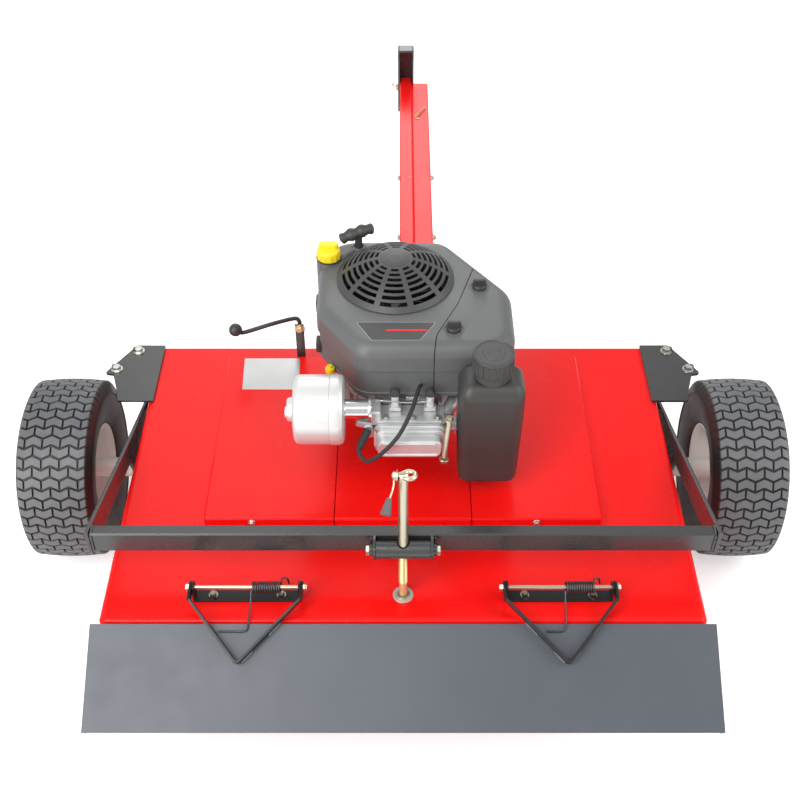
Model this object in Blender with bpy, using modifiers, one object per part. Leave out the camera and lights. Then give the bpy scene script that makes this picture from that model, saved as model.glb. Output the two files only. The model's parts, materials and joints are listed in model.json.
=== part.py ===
"""Tow-behind finishing mower: a twin-blade deck with its own engine, two side wheels and a tow bar.

X points to the right, Y forward to the hitch and Z up, in metres.
Pieces are drawn in the deck's frame: the middle of the deck's rear edge, level with its top.
The empty mower_frame carries them all, so that the origin lies on the ground under the middle.
"""
import math

import bmesh
import bpy
import numpy as np
from mathutils import Euler, Matrix, Vector

# Clearances
SEAT = 0.0003
RUNNING = 0.0004

# Facets round small, middling and large pieces
SMALL = 12
MIDDLE = 20
ROUND = 16

# Deck and its covers
DECK_WIDTH = 1.170
DECK_LENGTH = 0.810
DECK_SHEET = 0.0045
SKIRT_DEPTH = 0.165
REAR_LIP = 0.028
DECK_CORNER = 0.014
COVER_HALF_WIDTH = 0.403
COVER_REAR = 0.220
COVER_MARGIN = 0.088
COVER_HEIGHT = 0.045
COVER_SHEET = 0.0030
ENGINE_PLATE_SHEET = 0.0050
COVER_SEAM = 0.139
SEAM_GAP = 0.0016
CORNER_PLATE_SHEET = 0.0060
CORNER_PLATE_LENGTH = 0.193
CORNER_PLATE_LAP = 0.016
CORNER_PLATE_INSET = 0.005
CORNER_PLATE_REACH = 0.067
CORNER_EAR_REACH = 0.113
CORNER_EAR_LENGTH = 0.101
CORNER_FRONT_REACH = 0.052
SPINDLE_HOLE = 0.021
SCREW_HOLE = 0.014
NOTCH_RADIUS = 0.009
NOTCH_Z = 0.003

# Wheels and axle frame
TYRE_RADIUS = 0.203
TYRE_WIDTH = 0.165
BEAD_RADIUS = 0.093
RIM_HALF_WIDTH = 0.0655
RIM_LIP = 0.0075
RIM_SHEET = 0.003
HUB_RADIUS = 0.024
HUB_HALF = 0.050
TREAD_RIBS = 20
TREAD_DEPTH = 0.006
TREAD_HALF = 0.069
WHEEL_OFFSET = 0.165
AXLE_SETBACK = 0.290
AXLE_Z = -0.117
AXLE_RADIUS = 0.0125
PIVOT_SETBACK = 0.110
PIVOT_Z = -0.085
PIVOT_BOLT_RADIUS = 0.0095
ARM_THICKNESS = 0.008
ARM_HEIGHT = 0.052
ARM_GAP = 0.0115
CROSSBAR_DEPTH = 0.025
CROSSBAR_HEIGHT = 0.050
CROSSBAR_REAR = 0.104
CROSSBAR_BOTTOM = 0.084
CROSSBAR_WALL = 0.003

# Lift screw and its trunnion
SCREW_FOOT_Y = 0.064
SCREW_RADIUS = 0.0085
SCREW_LENGTH = 0.300
TRUNNION_RADIUS = 0.0175
TRUNNION_HALF = 0.052
TRUNNION_GAP = 0.0035
TRUNNION_SLACK = 0.0032
EAR_SHEET = 0.005
TRUNNION_PIN = 0.008
WASHER_BORE = 0.0126
NUT_BASE = 0.0085
NUT_HEIGHT = 0.009
NUT_RADIUS = 0.0140
NUT_BALL = 0.0120
WASHER_RADIUS = 0.019
CRANK_EYE = 0.021
CRANK_WIRE = 0.0045

# Rear flap and its hinges
HINGE_X = 0.302
HINGE_HALF = 0.104
HINGE_Y = 0.060
HINGE_Z = 0.030
HINGE_PIN_RADIUS = 0.0055
HINGE_SHEET = 0.004
FLAP_OVERHANG = 0.012
FLAP_LENGTH = 0.200
FLAP_SLOPE = math.radians(29.0)
FLAP_SHEET = 0.003
FLAP_GAP = 0.004
STRAP_SHEET = 0.005
STRAP_HEIGHT = 0.023
STRAP_APEX = 0.010
SPRING_WIRE = 0.0018
SPRING_RADIUS = 0.0086
SPRING_TURNS = 10.5
SPRING_PITCH = 0.0052
CURL_POINTS = 8
SPRING_TAIL = 0.049

# Tow bar
TUBE_SIZE = 0.0508
TUBE_WALL = 0.0032
TUBE_X = 0.0573
DRAW_BAR_WIDTH = 0.038
TONGUE_Z = -0.030
TONGUE_LENGTH = 1.268
TONGUE_GAP = 0.040
TONGUE_PIVOT_REACH = 0.062
DRAW_BAR_REACH = 0.190
TONGUE_BRACKET_SHEET = 0.006
TONGUE_BRACKET_WIDTH = 0.170
TONGUE_BRACKET_HEIGHT = 0.110
POST_HEIGHT = 0.215
POST_BELOW = 0.080
POST_DEPTH = 0.046
POST_WALL = 0.006
HITCH_PIN_RADIUS = 0.0064
PIN_INSET = 0.018
TONGUE_PIN_RADIUS = 0.0095

# Cutting gear under the deck and its belt drive
SPINDLE_X = 0.272
SPINDLE_Y_LEFT = 0.315
SPINDLE_Y_RIGHT = 0.495
SHAFT_RADIUS = 0.0125
BLADE_LENGTH = 0.560
BLADE_WIDTH = 0.060
BLADE_SHEET = 0.005
BLADE_Z = -0.133
BELT_Z = 0.0205
BELT_HEIGHT = 0.010
BELT_DEPTH = 0.008
BELT_SLACK = 0.0015
PULLEY_FLANGE = 0.003
ENGINE_PULLEY_RADIUS = 0.050
SPINDLE_PULLEY_RADIUS = 0.060
IDLER_RADIUS = 0.032
IDLER_ARM = 0.110
IDLER_STUD = 0.006

# Engine
CRANK_X = -0.0155
CRANK_Y = 0.602
CASE_RADIUS = 0.108
CASE_FLANGE = 0.020
CASE_TOP = 0.232
HOUSING_LEFT = -0.176
HOUSING_RIGHT = 0.222
HOUSING_REAR = 0.378
HOUSING_SHOULDER = 0.505
HOUSING_WAIST = -0.088
HOUSING_SLOPE_X = 0.088
HOUSING_SLOPE_Y = 0.562
HOUSING_FRONT = 0.745
HOUSING_BOTTOM = 0.236
HOUSING_TOP = 0.362
HOUSING_SHELL = 0.003
HOUSING_ROUND = 0.026
GRILLE_RADIUS = 0.1215
GRILLE_RISE = 0.052
GRILLE_CAP = 0.036
GRILLE_SHELL = 0.003
GRILLE_SPOKES = 10
GRILLE_SLOTS = 5
GRILLE_TURN = math.radians(-6.0)
GRILLE_SETTLE = 0.0004
FAN_RADIUS = 0.104
FAN_BASE_Z = 0.262
FAN_TOP_Z = 0.334
FAN_VANES = 10
HEAD_X = 0.0155
HEAD_WIDTH = 0.152
HEAD_Z = 0.203
MUFFLER_X = -0.165
MUFFLER_Y = 0.332
MUFFLER_Z = 0.244
MUFFLER_RADIUS = 0.070
MUFFLER_LENGTH = 0.100
PIPE_RADIUS = 0.020
TANK_X = 0.171
TANK_Y = 0.328
TANK_WIDTH = 0.128
TANK_DEPTH = 0.094
TANK_BOTTOM = 0.076
TANK_TOP = 0.338
CAP_RADIUS = 0.0415
CAP_HEIGHT = 0.064
DIPSTICK_X = -0.156
DIPSTICK_Y = 0.668
DIPSTICK_RADIUS = 0.0245
KNOBS = ((0.157, 0.572), (0.100, 0.437))
STARTER_X = -0.094
STARTER_Y = 0.708
STARTER_TURN = math.radians(20.0)
HEAD_REAR = 0.318
HEAD_FRONT = 0.372
LEAD_RADIUS = 0.0042
LEAD_ROUTE = (
    (0.036, 0.376, 0.268),
    (0.034, 0.362, 0.272),
    (0.028, 0.300, 0.262),
    (0.006, 0.262, 0.236),
    (-0.030, 0.256, 0.198),
    (-0.058, 0.258, 0.174),
    (-0.078, 0.268, 0.168),
    (-0.086, 0.286, 0.180),
    (-0.076, 0.304, 0.196),
)

# Clutch lever
LEVER_X = -0.236
LEVER_SETBACK = 0.068
LEVER_STRAP = 0.020
LEVER_STRAP_SHEET = 0.005
LEVER_FOOT_RADIUS = 0.024
LEVER_RADIUS = 0.005
LEVER_LENGTH = 0.140
LEVER_TOP = 0.140
BALL_RADIUS = 0.015

# Sizes that follow from the ones above
DECK_HALF = DECK_WIDTH / 2
COVER_FRONT = DECK_LENGTH - COVER_MARGIN
AXLE_Y = DECK_LENGTH - AXLE_SETBACK
PIVOT_Y = DECK_LENGTH - PIVOT_SETBACK
WHEEL_X = DECK_HALF + WHEEL_OFFSET
LEVER_Y = DECK_LENGTH - LEVER_SETBACK
FLAP_HALF_WIDTH = DECK_HALF + FLAP_OVERHANG
TONGUE_REAR = DECK_LENGTH + TONGUE_GAP
TONGUE_FRONT = TONGUE_REAR + TONGUE_LENGTH
TONGUE_PIVOT_Y = DECK_LENGTH + TONGUE_PIVOT_REACH
DRAW_BAR_REAR = DECK_LENGTH + DRAW_BAR_REACH
GROUND_Z = AXLE_Z - TYRE_RADIUS
ARM_X = DECK_HALF + ARM_GAP + ARM_THICKNESS / 2
CROSSBAR_Z = CROSSBAR_BOTTOM + CROSSBAR_HEIGHT / 2
CROSSBAR_FRONT = CROSSBAR_REAR + CROSSBAR_DEPTH
TRUNNION_Y = CROSSBAR_REAR - TRUNNION_GAP - TRUNNION_RADIUS
TRUNNION_Z = CROSSBAR_Z + 0.006
SCREW_LEAN = math.atan2(TRUNNION_Y - SCREW_FOOT_Y, TRUNNION_Z)
FLAP_DIRECTION = Vector((0.0, -math.cos(FLAP_SLOPE), -math.sin(FLAP_SLOPE)))
FLAP_NORMAL = Vector((0.0, -math.sin(FLAP_SLOPE), math.cos(FLAP_SLOPE)))
FLAP_EDGE = Vector((0.0, -FLAP_GAP, 0.0))
FLAP_REAR_Y = FLAP_EDGE.y + FLAP_DIRECTION.y * FLAP_LENGTH
TUBE_LEFT = TUBE_X - TUBE_SIZE / 2
DRAW_BAR_X = TUBE_LEFT - SEAT - DRAW_BAR_WIDTH / 2
POST_WIDTH = DRAW_BAR_WIDTH + 2 * SEAT + 2 * POST_WALL
POST_REAR = TONGUE_FRONT + SEAT
POST_FRONT = POST_REAR + POST_DEPTH
PIN_Y = POST_REAR + PIN_INSET
BELT_BOTTOM = BELT_Z - BELT_HEIGHT / 2
BELT_TOP = BELT_Z + BELT_HEIGHT / 2
PLATE_UNDERSIDE = COVER_HEIGHT - ENGINE_PLATE_SHEET
TRACK_OUTER = WHEEL_X + TYRE_WIDTH / 2
SHIFT_Y = -(FLAP_REAR_Y + POST_FRONT) / 2

TURN = 2 * math.pi
AIM = {
    "Z": Euler((0.0, 0.0, 0.0)),
    "-Z": Euler((math.pi, 0.0, 0.0)),
    "X": Euler((0.0, math.pi / 2, 0.0)),
    "-X": Euler((0.0, -math.pi / 2, 0.0)),
    "Y": Euler((-math.pi / 2, 0.0, 0.0)),
    "-Y": Euler((math.pi / 2, 0.0, 0.0)),
}

for old in list(bpy.data.objects):
    bpy.data.objects.remove(old, do_unlink=True)

MOWER = bpy.data.collections.new("finishing_mower")
bpy.context.scene.collection.children.link(MOWER)
TOOLS = bpy.data.collections.new("cutters")
bpy.context.scene.collection.children.link(TOOLS)

PLACES = {}
MATERIALS = {}


def material(name, colour, roughness, metallic=0.0):
    """Returns the named Principled material, made on first use."""
    if name not in MATERIALS:
        made = bpy.data.materials.new(name)
        made.use_nodes = True
        shader = made.node_tree.nodes["Principled BSDF"]
        shader.inputs["Base Color"].default_value = (*colour, 1.0)
        shader.inputs["Roughness"].default_value = roughness
        shader.inputs["Metallic"].default_value = metallic
        made.diffuse_color = (*colour, 1.0)
        MATERIALS[name] = made
    return MATERIALS[name]


RED = ("red_paint", (0.72, 0.012, 0.010), 0.28, 0.0)
BLACK = ("black_paint", (0.030, 0.031, 0.034), 0.38, 0.0)
FLAP_GREY = ("flap_grey_paint", (0.085, 0.095, 0.110), 0.50, 0.0)
ZINC = ("zinc_plate", (0.72, 0.66, 0.48), 0.32, 0.9)
STEEL = ("spring_steel", (0.20, 0.20, 0.21), 0.40, 0.8)
CAST = ("cast_aluminium", (0.62, 0.63, 0.63), 0.45, 0.7)
SHROUD = ("shroud_plastic", (0.045, 0.046, 0.048), 0.50, 0.0)
TANK = ("tank_plastic", (0.030, 0.030, 0.031), 0.45, 0.0)
YELLOW = ("yellow_plastic", (0.90, 0.66, 0.01), 0.40, 0.0)
CREAM = ("cream_rim_paint", (0.80, 0.77, 0.69), 0.35, 0.0)
RUBBER = ("tyre_rubber", (0.032, 0.032, 0.033), 0.75, 0.0)
BELT_RUBBER = ("belt_rubber", (0.020, 0.020, 0.020), 0.85, 0.0)


def anchor(name, position=(0.0, 0.0, 0.0), rotation=None, parent=None):
    """Makes an empty at a place in the deck's frame, for a body's pieces to hang from."""
    empty = bpy.data.objects.new(name, None)
    empty.empty_display_size = 0.05
    MOWER.objects.link(empty)
    turn = (rotation or Euler()).to_matrix().to_4x4()
    total = Matrix.Translation(position) @ turn
    PLACES[name] = total
    if parent is None:
        empty.matrix_basis = total
    else:
        empty.parent = parent
        empty.matrix_basis = PLACES[parent.name].inverted() @ total
    return empty


def hang(obj, parent):
    """Parents an object whose own coordinates are the deck's."""
    obj.parent = parent
    obj.matrix_parent_inverse = PLACES[parent.name].inverted()
    return obj


def piece(obj, name, look, parent, sharp=35.0):
    """Names a finished piece, gives it its material and hangs it on its body."""
    obj.name = name
    obj.data.name = name
    obj.data.materials.clear()
    obj.data.materials.append(material(*look))
    MOWER.objects.link(obj)
    if hasattr(obj.data, "shade_smooth"):
        obj.data.shade_smooth()
        obj.data.set_sharp_from_angle(angle=math.radians(sharp))
    return hang(obj, parent)


def tool(obj, parent, name="cutter"):
    """Keeps a cutter or an added lump out of the model, in its own collection."""
    obj.name = name
    obj.hide_render = True
    obj.display_type = "WIRE"
    TOOLS.objects.link(obj)
    return hang(obj, parent)


def boolean(target, other, operation):
    step = target.modifiers.new(operation.lower(), "BOOLEAN")
    step.operation = operation
    step.solver = "EXACT"
    step.object = other
    return target


def cut(target, other, parent, name="cutter"):
    return boolean(target, tool(other, parent, name), "DIFFERENCE")


def add(target, other, parent, name="lump"):
    return boolean(target, tool(other, parent, name), "UNION")


def from_bmesh(bm):
    mesh = bpy.data.meshes.new("shape")
    bm.to_mesh(mesh)
    bm.free()
    return bpy.data.objects.new("shape", mesh)


def box(size, centre, rotation=None):
    """A block with its size in its mesh, so that later bevels keep their width."""
    bm = bmesh.new()
    bmesh.ops.create_cube(bm, size=1.0, matrix=Matrix.Diagonal((*size, 1.0)))
    obj = from_bmesh(bm)
    obj.location = centre
    if rotation is not None:
        obj.rotation_euler = rotation
    return obj


def boxes(blocks):
    """Several separate blocks in one mesh, each given as (size, centre)."""
    bm = bmesh.new()
    for size, centre in blocks:
        place = Matrix.Translation(centre) @ Matrix.Diagonal((*size, 1.0))
        bmesh.ops.create_cube(bm, size=1.0, matrix=place)
    return from_bmesh(bm)


def clear_of(radius, gap, sides=SMALL):
    """The corner radius of a hole whose flats clear a pin by the gap."""
    return (radius + gap) / math.cos(math.pi / sides)


def rods(places, radius, length, aim="Z", sides=SMALL):
    """Separate equal cylinders in one mesh, centred on the places given."""
    bm = bmesh.new()
    for centre in places:
        place = Matrix.Translation(centre) @ AIM[aim].to_matrix().to_4x4()
        bmesh.ops.create_cone(
            bm, cap_ends=True, segments=sides, radius1=radius, radius2=radius, depth=length, matrix=place
        )
    return from_bmesh(bm)


def bevel(obj, width, segments=2, angle=40.0):
    step = obj.modifiers.new("bevel", "BEVEL")
    step.width = width
    step.segments = segments
    step.limit_method = "ANGLE"
    step.angle_limit = math.radians(angle)
    return obj


def solidify(obj, thickness, offset=-1.0):
    step = obj.modifiers.new("solidify", "SOLIDIFY")
    step.thickness = thickness
    step.offset = offset
    step.use_even_offset = True
    return obj


def turned(profile, centre, aim="Z", steps=MIDDLE):
    """A turned piece; the profile's (radius, height) points run outward, down and back."""
    mesh = bpy.data.meshes.new("profile")
    points = [(radius, 0.0, height) for radius, height in profile]
    edges = [(i, i + 1) for i in range(len(points) - 1)]
    ring = profile[0][0] > 0.0
    if ring:
        edges.append((len(points) - 1, 0))
    mesh.from_pydata(points, edges, [])
    obj = bpy.data.objects.new("turned", mesh)
    obj.location = centre
    obj.rotation_euler = AIM[aim] if isinstance(aim, str) else aim
    step = obj.modifiers.new("turn", "SCREW")
    step.axis = "Z"
    step.steps = steps
    step.render_steps = steps
    step.use_merge_vertices = True
    step.merge_threshold = 0.00005
    step.use_smooth_shade = True
    return obj


def solid_profile(*points):
    """A profile for a piece that is solid to its axis: (radius, height) points, top to bottom."""
    return [(0.0, points[0][1]), *points, (0.0, points[-1][1])]


def arc(centre, radius, start, end, count):
    """Points along an arc, with angles in radians."""
    angles = np.linspace(start, end, count)
    return [(centre[0] + radius * math.cos(a), centre[1] + radius * math.sin(a)) for a in angles]


def circle(centre, radius, sides=SMALL):
    """A closed round outline."""
    return arc(centre, radius, 0.0, TURN - TURN / sides, sides)


def rounded(corners, count=4):
    """A closed outline from (x, y, radius) corners, each rounded by its own arc."""
    outline = []
    total = len(corners)
    for i, (x, y, radius) in enumerate(corners):
        here = Vector((x, y))
        if radius <= 0.0:
            outline.append((x, y))
            continue
        before = (Vector(corners[i - 1][:2]) - here).normalized()
        after = (Vector(corners[(i + 1) % total][:2]) - here).normalized()
        half = before.angle(after) / 2
        reach = radius / math.tan(half)
        middle = here + (before + after).normalized() * radius / math.sin(half)
        first = here + before * reach - middle
        last = here + after * reach - middle
        start = math.atan2(first.y, first.x)
        sweep = (math.atan2(last.y, last.x) - start + math.pi) % TURN - math.pi
        outline += arc(middle, radius, start, start + sweep, count)
    return outline


def to_mesh(curve_obj):
    """Turns a curve into a welded mesh, so that it can be cut or joined."""
    scene = bpy.context.scene.collection
    scene.objects.link(curve_obj)
    bpy.context.view_layer.update()
    evaluated = curve_obj.evaluated_get(bpy.context.evaluated_depsgraph_get())
    mesh = bpy.data.meshes.new_from_object(evaluated)
    bm = bmesh.new()
    bm.from_mesh(mesh)
    bmesh.ops.remove_doubles(bm, verts=bm.verts, dist=0.00002)
    bmesh.ops.recalc_face_normals(bm, faces=bm.faces)
    bm.to_mesh(mesh)
    bm.free()
    obj = bpy.data.objects.new("shape", mesh)
    obj.matrix_world = curve_obj.matrix_world
    scene.objects.unlink(curve_obj)
    bpy.data.objects.remove(curve_obj)
    return obj


def plate(outlines, thickness, place):
    """A flat plate: closed outlines (holes after the rim) given a thickness about their plane."""
    curve = bpy.data.curves.new("outline", "CURVE")
    curve.dimensions = "2D"
    curve.fill_mode = "BOTH"
    curve.extrude = thickness / 2
    for outline in outlines:
        spline = curve.splines.new("POLY")
        spline.points.add(len(outline) - 1)
        for point, (x, y) in zip(spline.points, outline):
            point.co = (x, y, 0.0, 1.0)
        spline.use_cyclic_u = True
    obj = bpy.data.objects.new("outline", curve)
    flat = to_mesh(obj)
    flat.data.transform(place)
    return flat


def flat_at(height):
    """The place of a level outline at a height."""
    return Matrix.Translation((0.0, 0.0, height))


def side_at(x):
    """The place of an outline drawn in Y and Z, standing at an x."""
    axes = Matrix(((0, 0, 1, 0), (1, 0, 0, 0), (0, 1, 0, 0), (0, 0, 0, 1)))
    return Matrix.Translation((x, 0.0, 0.0)) @ axes


def wire(points, radius, resolution=2):
    """A tube along a list of points."""
    curve = bpy.data.curves.new("wire", "CURVE")
    curve.dimensions = "3D"
    curve.bevel_depth = radius
    curve.bevel_resolution = resolution
    curve.use_fill_caps = True
    spline = curve.splines.new("POLY")
    spline.points.add(len(points) - 1)
    for point, place in zip(spline.points, points):
        point.co = (*place, 1.0)
    return bpy.data.objects.new("wire", curve)


def smooth_path(points, spacing):
    """Evenly spaced points on a smooth curve through the points given."""
    knots = [Vector(p) for p in points]
    knots = [2 * knots[0] - knots[1], *knots, 2 * knots[-1] - knots[-2]]
    fine = []
    for a, b, c, d in zip(knots, knots[1:], knots[2:], knots[3:]):
        for t in np.linspace(0.0, 1.0, 24, endpoint=False):
            square = (2 * a - 5 * b + 4 * c - d) * t**2
            cube = (3 * b - a - 3 * c + d) * t**3
            fine.append(0.5 * (2 * b + (c - a) * t + square + cube))
    fine.append(knots[-2])
    run = [0.0]
    for a, b in zip(fine, fine[1:]):
        run.append(run[-1] + (b - a).length)
    count = max(3, round(run[-1] / spacing))
    wanted = np.linspace(0.0, run[-1], count + 1)
    axes = [np.interp(wanted, run, [p[i] for p in fine]) for i in range(3)]
    return [Vector(p) for p in zip(*axes)]


def square_tube(width, height, wall, start, end, x, z):
    """A square tube along Y, open at both ends."""
    length = end - start
    middle = (x, (start + end) / 2, z)
    outer = bevel(box((width, length, height), middle), wall, 1, 80.0)
    inner = box((width - 2 * wall, length + 0.02, height - 2 * wall), middle)
    return outer, inner


def build_deck(root):
    """The sheet deck, with its side and front skirts and its holes."""
    bm = bmesh.new()
    bmesh.ops.create_cube(bm, size=1.0, matrix=Matrix.Diagonal((DECK_WIDTH, DECK_LENGTH, SKIRT_DEPTH, 1.0)))
    floor = [f for f in bm.faces if f.normal.z < -0.5]
    bmesh.ops.delete(bm, geom=floor, context="FACES")
    deck = from_bmesh(bm)
    deck.location = (0.0, DECK_LENGTH / 2, -SKIRT_DEPTH / 2)
    bevel(deck, DECK_CORNER, 2)
    solidify(deck, DECK_SHEET)
    opening = box(
        (DECK_WIDTH - 2 * DECK_SHEET, 0.08, SKIRT_DEPTH),
        (0.0, 0.0, -REAR_LIP - SKIRT_DEPTH / 2),
    )
    cut(deck, opening, root, "rear_opening")
    level = -DECK_SHEET / 2
    reach = DECK_SHEET + 0.04
    spindles = [(-SPINDLE_X, SPINDLE_Y_LEFT, level), (SPINDLE_X, SPINDLE_Y_RIGHT, level)]
    cut(deck, rods(spindles, SPINDLE_HOLE, reach), root, "spindle_holes")
    cut(deck, rods([(0.0, SCREW_FOOT_Y, level)], SCREW_HOLE, reach), root, "screw_hole")
    pivots = [(side * DECK_HALF, PIVOT_Y, PIVOT_Z) for side in (-1, 1)]
    cut(deck, rods(pivots, clear_of(PIVOT_BOLT_RADIUS, SEAT), 0.06, "X"), root, "pivot_holes")
    return piece(deck, "deck_shell", RED, root)


def build_covers(root):
    """The engine plate in the middle and a belt cover on each side of it."""
    length = COVER_FRONT - COVER_REAR
    middle_y = (COVER_FRONT + COVER_REAR) / 2
    height = COVER_HEIGHT - SEAT
    middle_z = SEAT + height / 2
    engine_plate = open_box((2 * COVER_SEAM - SEAM_GAP, length, height), ("x", "-x", "-z"))
    engine_plate.location = (0.0, middle_y, middle_z)
    bevel(engine_plate, 0.004, 1)
    solidify(engine_plate, ENGINE_PLATE_SHEET)
    shaft_hole = rods([(CRANK_X, CRANK_Y, COVER_HEIGHT)], SHAFT_RADIUS + 0.012, 0.03)
    cut(engine_plate, shaft_hole, root, "shaft_hole")
    for side in (-1, 1):
        notch = [(side * COVER_SEAM, COVER_REAR, NOTCH_Z)]
        cut(engine_plate, rods(notch, NOTCH_RADIUS, 0.02, "Y"), root, "seam_notch")
    piece(engine_plate, "engine_plate", RED, root)
    width = COVER_HALF_WIDTH - COVER_SEAM - SEAM_GAP / 2
    for side, word in ((-1, "left"), (1, "right")):
        inner = "x" if side < 0 else "-x"
        cover = open_box((width, length, height), (inner, "-z"))
        cover.location = (side * (COVER_HALF_WIDTH - width / 2), middle_y, middle_z)
        bevel(cover, 0.003, 1)
        solidify(cover, COVER_SHEET)
        notch = [(side * COVER_SEAM, COVER_REAR, NOTCH_Z)]
        cut(cover, rods(notch, NOTCH_RADIUS, 0.02, "Y"), root, "seam_notch")
        if side < 0:
            gap = rods([(LEVER_X, LEVER_Y, COVER_HEIGHT / 2)], LEVER_FOOT_RADIUS, 0.06)
            cut(cover, gap, root, "lever_gap")
        piece(cover, f"belt_cover_{word}", RED, root)


def open_box(size, missing):
    """A box surface without the faces named, ready to be thickened."""
    ways = {
        "x": Vector((1, 0, 0)), "-x": Vector((-1, 0, 0)),
        "y": Vector((0, 1, 0)), "-y": Vector((0, -1, 0)),
        "z": Vector((0, 0, 1)), "-z": Vector((0, 0, -1)),
    }
    bm = bmesh.new()
    bmesh.ops.create_cube(bm, size=1.0, matrix=Matrix.Diagonal((*size, 1.0)))
    gone = [f for f in bm.faces if any(f.normal.dot(ways[m]) > 0.5 for m in missing)]
    bmesh.ops.delete(bm, geom=gone, context="FACES")
    return from_bmesh(bm)


def build_corner_plates(root):
    """The black plates on the deck's front corners, inside the wheels."""
    rear = DECK_LENGTH - CORNER_PLATE_SHEET - CORNER_PLATE_LENGTH
    front = DECK_LENGTH - CORNER_PLATE_INSET
    shelf = front - CORNER_EAR_LENGTH
    inner = DECK_HALF - CORNER_PLATE_LAP
    outer = DECK_HALF + CORNER_PLATE_REACH
    ear = DECK_HALF + CORNER_EAR_REACH
    for side, word in ((-1, "left"), (1, "right")):
        outline = [
            (inner, rear, 0.0), (outer, rear, 0.006), (outer + 0.008, rear + 0.038, 0.0),
            (ear - 0.022, shelf - 0.004, 0.0), (ear, shelf, 0.006),
            (DECK_HALF + CORNER_FRONT_REACH, front, 0.006), (inner, front, 0.0),
        ]
        flat = plate(
            [rounded([(side * x, y, r) for x, y, r in outline])],
            CORNER_PLATE_SHEET, flat_at(SEAT + CORNER_PLATE_SHEET / 2),
        )
        spots = [(DECK_HALF + CORNER_FRONT_REACH, front - 0.018), (ear - 0.021, shelf + 0.020)]
        tops = [(side * x, y, SEAT + CORNER_PLATE_SHEET + 0.003) for x, y in spots]
        add(flat, rods(tops, 0.0075, 0.0075, "Z", 6), root, "bolt_heads")
        piece(flat, f"corner_plate_{word}", BLACK, root)


def build_axle_frame(root, body):
    """The crossbar behind the engine and the two side arms with their axle stubs."""
    span = ARM_X - ARM_THICKNESS / 2 - SEAT
    middle = (0.0, CROSSBAR_REAR + CROSSBAR_DEPTH / 2, CROSSBAR_Z)
    bar = bevel(box((2 * span, CROSSBAR_DEPTH, CROSSBAR_HEIGHT), middle), 0.003, 1)
    ear_length = CROSSBAR_REAR - TRUNNION_Y + TRUNNION_RADIUS
    ear_x = TRUNNION_HALF + SEAT + EAR_SHEET / 2
    ears = []
    for side in (-1, 1):
        outline = rounded([
            (CROSSBAR_REAR + 0.002, TRUNNION_Z - TRUNNION_RADIUS, 0.0),
            (CROSSBAR_REAR + 0.002, TRUNNION_Z + TRUNNION_RADIUS, 0.0),
            (CROSSBAR_REAR - ear_length, TRUNNION_Z + TRUNNION_RADIUS, 0.012),
            (CROSSBAR_REAR - ear_length, TRUNNION_Z - TRUNNION_RADIUS, 0.012),
        ])
        hole = circle((TRUNNION_Y, TRUNNION_Z), clear_of(TRUNNION_PIN, RUNNING))
        ears.append(plate([outline, hole], EAR_SHEET, side_at(side * ear_x)))
    for ear in ears:
        add(bar, ear, body, "trunnion_ear")
    piece(bar, "crossbar", BLACK, body)
    for side, word in ((-1, "left"), (1, "right")):
        arm = plate([arm_outline()], ARM_THICKNESS, side_at(side * ARM_X))
        hole = rods([(side * ARM_X, PIVOT_Y, PIVOT_Z)], clear_of(PIVOT_BOLT_RADIUS, RUNNING), 0.03, "X")
        cut(arm, hole, body, "pivot_hole")
        add(arm, axle_stub(side), body, "axle_stub")
        piece(arm, f"side_arm_{word}", BLACK, body)


def arm_outline():
    """The side arm's edge, from the crossbar down to the pivot, with a lug for the axle."""
    pivot_round = 0.030
    lug_round = 0.034
    top_rear = (CROSSBAR_REAR, CROSSBAR_BOTTOM + CROSSBAR_HEIGHT + 0.006)
    bottom_rear = (CROSSBAR_REAR, CROSSBAR_BOTTOM - 0.004)
    crest = (AXLE_Y, 0.002)
    belly = (AXLE_Y - 0.075, crest[1] - ARM_HEIGHT + 0.026)
    outline = [top_rear, bottom_rear, belly]
    outline += arc((AXLE_Y, AXLE_Z), lug_round, math.radians(200), math.radians(320), 5)
    outline += arc((PIVOT_Y, PIVOT_Z), pivot_round, math.radians(-80), math.radians(75), 6)
    outline.append(crest)
    return outline


def axle_stub(side):
    """The shouldered axle that stands out of an arm, from its collar to its end nut."""
    face = ARM_THICKNESS / 2 + SEAT
    inner = WHEEL_X - HUB_HALF - SEAT - ARM_X
    outer = WHEEL_X + HUB_HALF + SEAT - ARM_X
    profile = solid_profile(
        (AXLE_RADIUS - 0.002, outer + 0.012),
        (AXLE_RADIUS + 0.006, outer + 0.012),
        (AXLE_RADIUS + 0.006, outer),
        (AXLE_RADIUS, outer),
        (AXLE_RADIUS, inner),
        (AXLE_RADIUS + 0.007, inner),
        (AXLE_RADIUS + 0.007, face - 0.004),
    )
    return turned(profile, (side * ARM_X, AXLE_Y, AXLE_Z), "X" if side > 0 else "-X", SMALL)


def build_pivot_bolts(root):
    """The two shouldered bolts on which the axle frame swings."""
    sheet = DECK_HALF - DECK_SHEET
    inner_face = sheet - SEAT
    collar_start = DECK_HALF + SEAT
    arm_inner = ARM_X - ARM_THICKNESS / 2 - SEAT
    arm_outer = ARM_X + ARM_THICKNESS / 2 + SEAT
    for side, word in ((-1, "left"), (1, "right")):
        profile = solid_profile(
            (0.016, arm_outer + 0.009),
            (0.017, arm_outer),
            (PIVOT_BOLT_RADIUS, arm_outer),
            (PIVOT_BOLT_RADIUS, arm_inner),
            (0.016, arm_inner),
            (0.016, collar_start),
            (PIVOT_BOLT_RADIUS, collar_start),
            (PIVOT_BOLT_RADIUS, inner_face),
            (0.017, inner_face),
            (0.017, inner_face - 0.010),
        )
        bolt = turned(profile, (0.0, PIVOT_Y, PIVOT_Z), "X" if side > 0 else "-X", SMALL)
        piece(bolt, f"pivot_bolt_{word}", ZINC, root)


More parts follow.
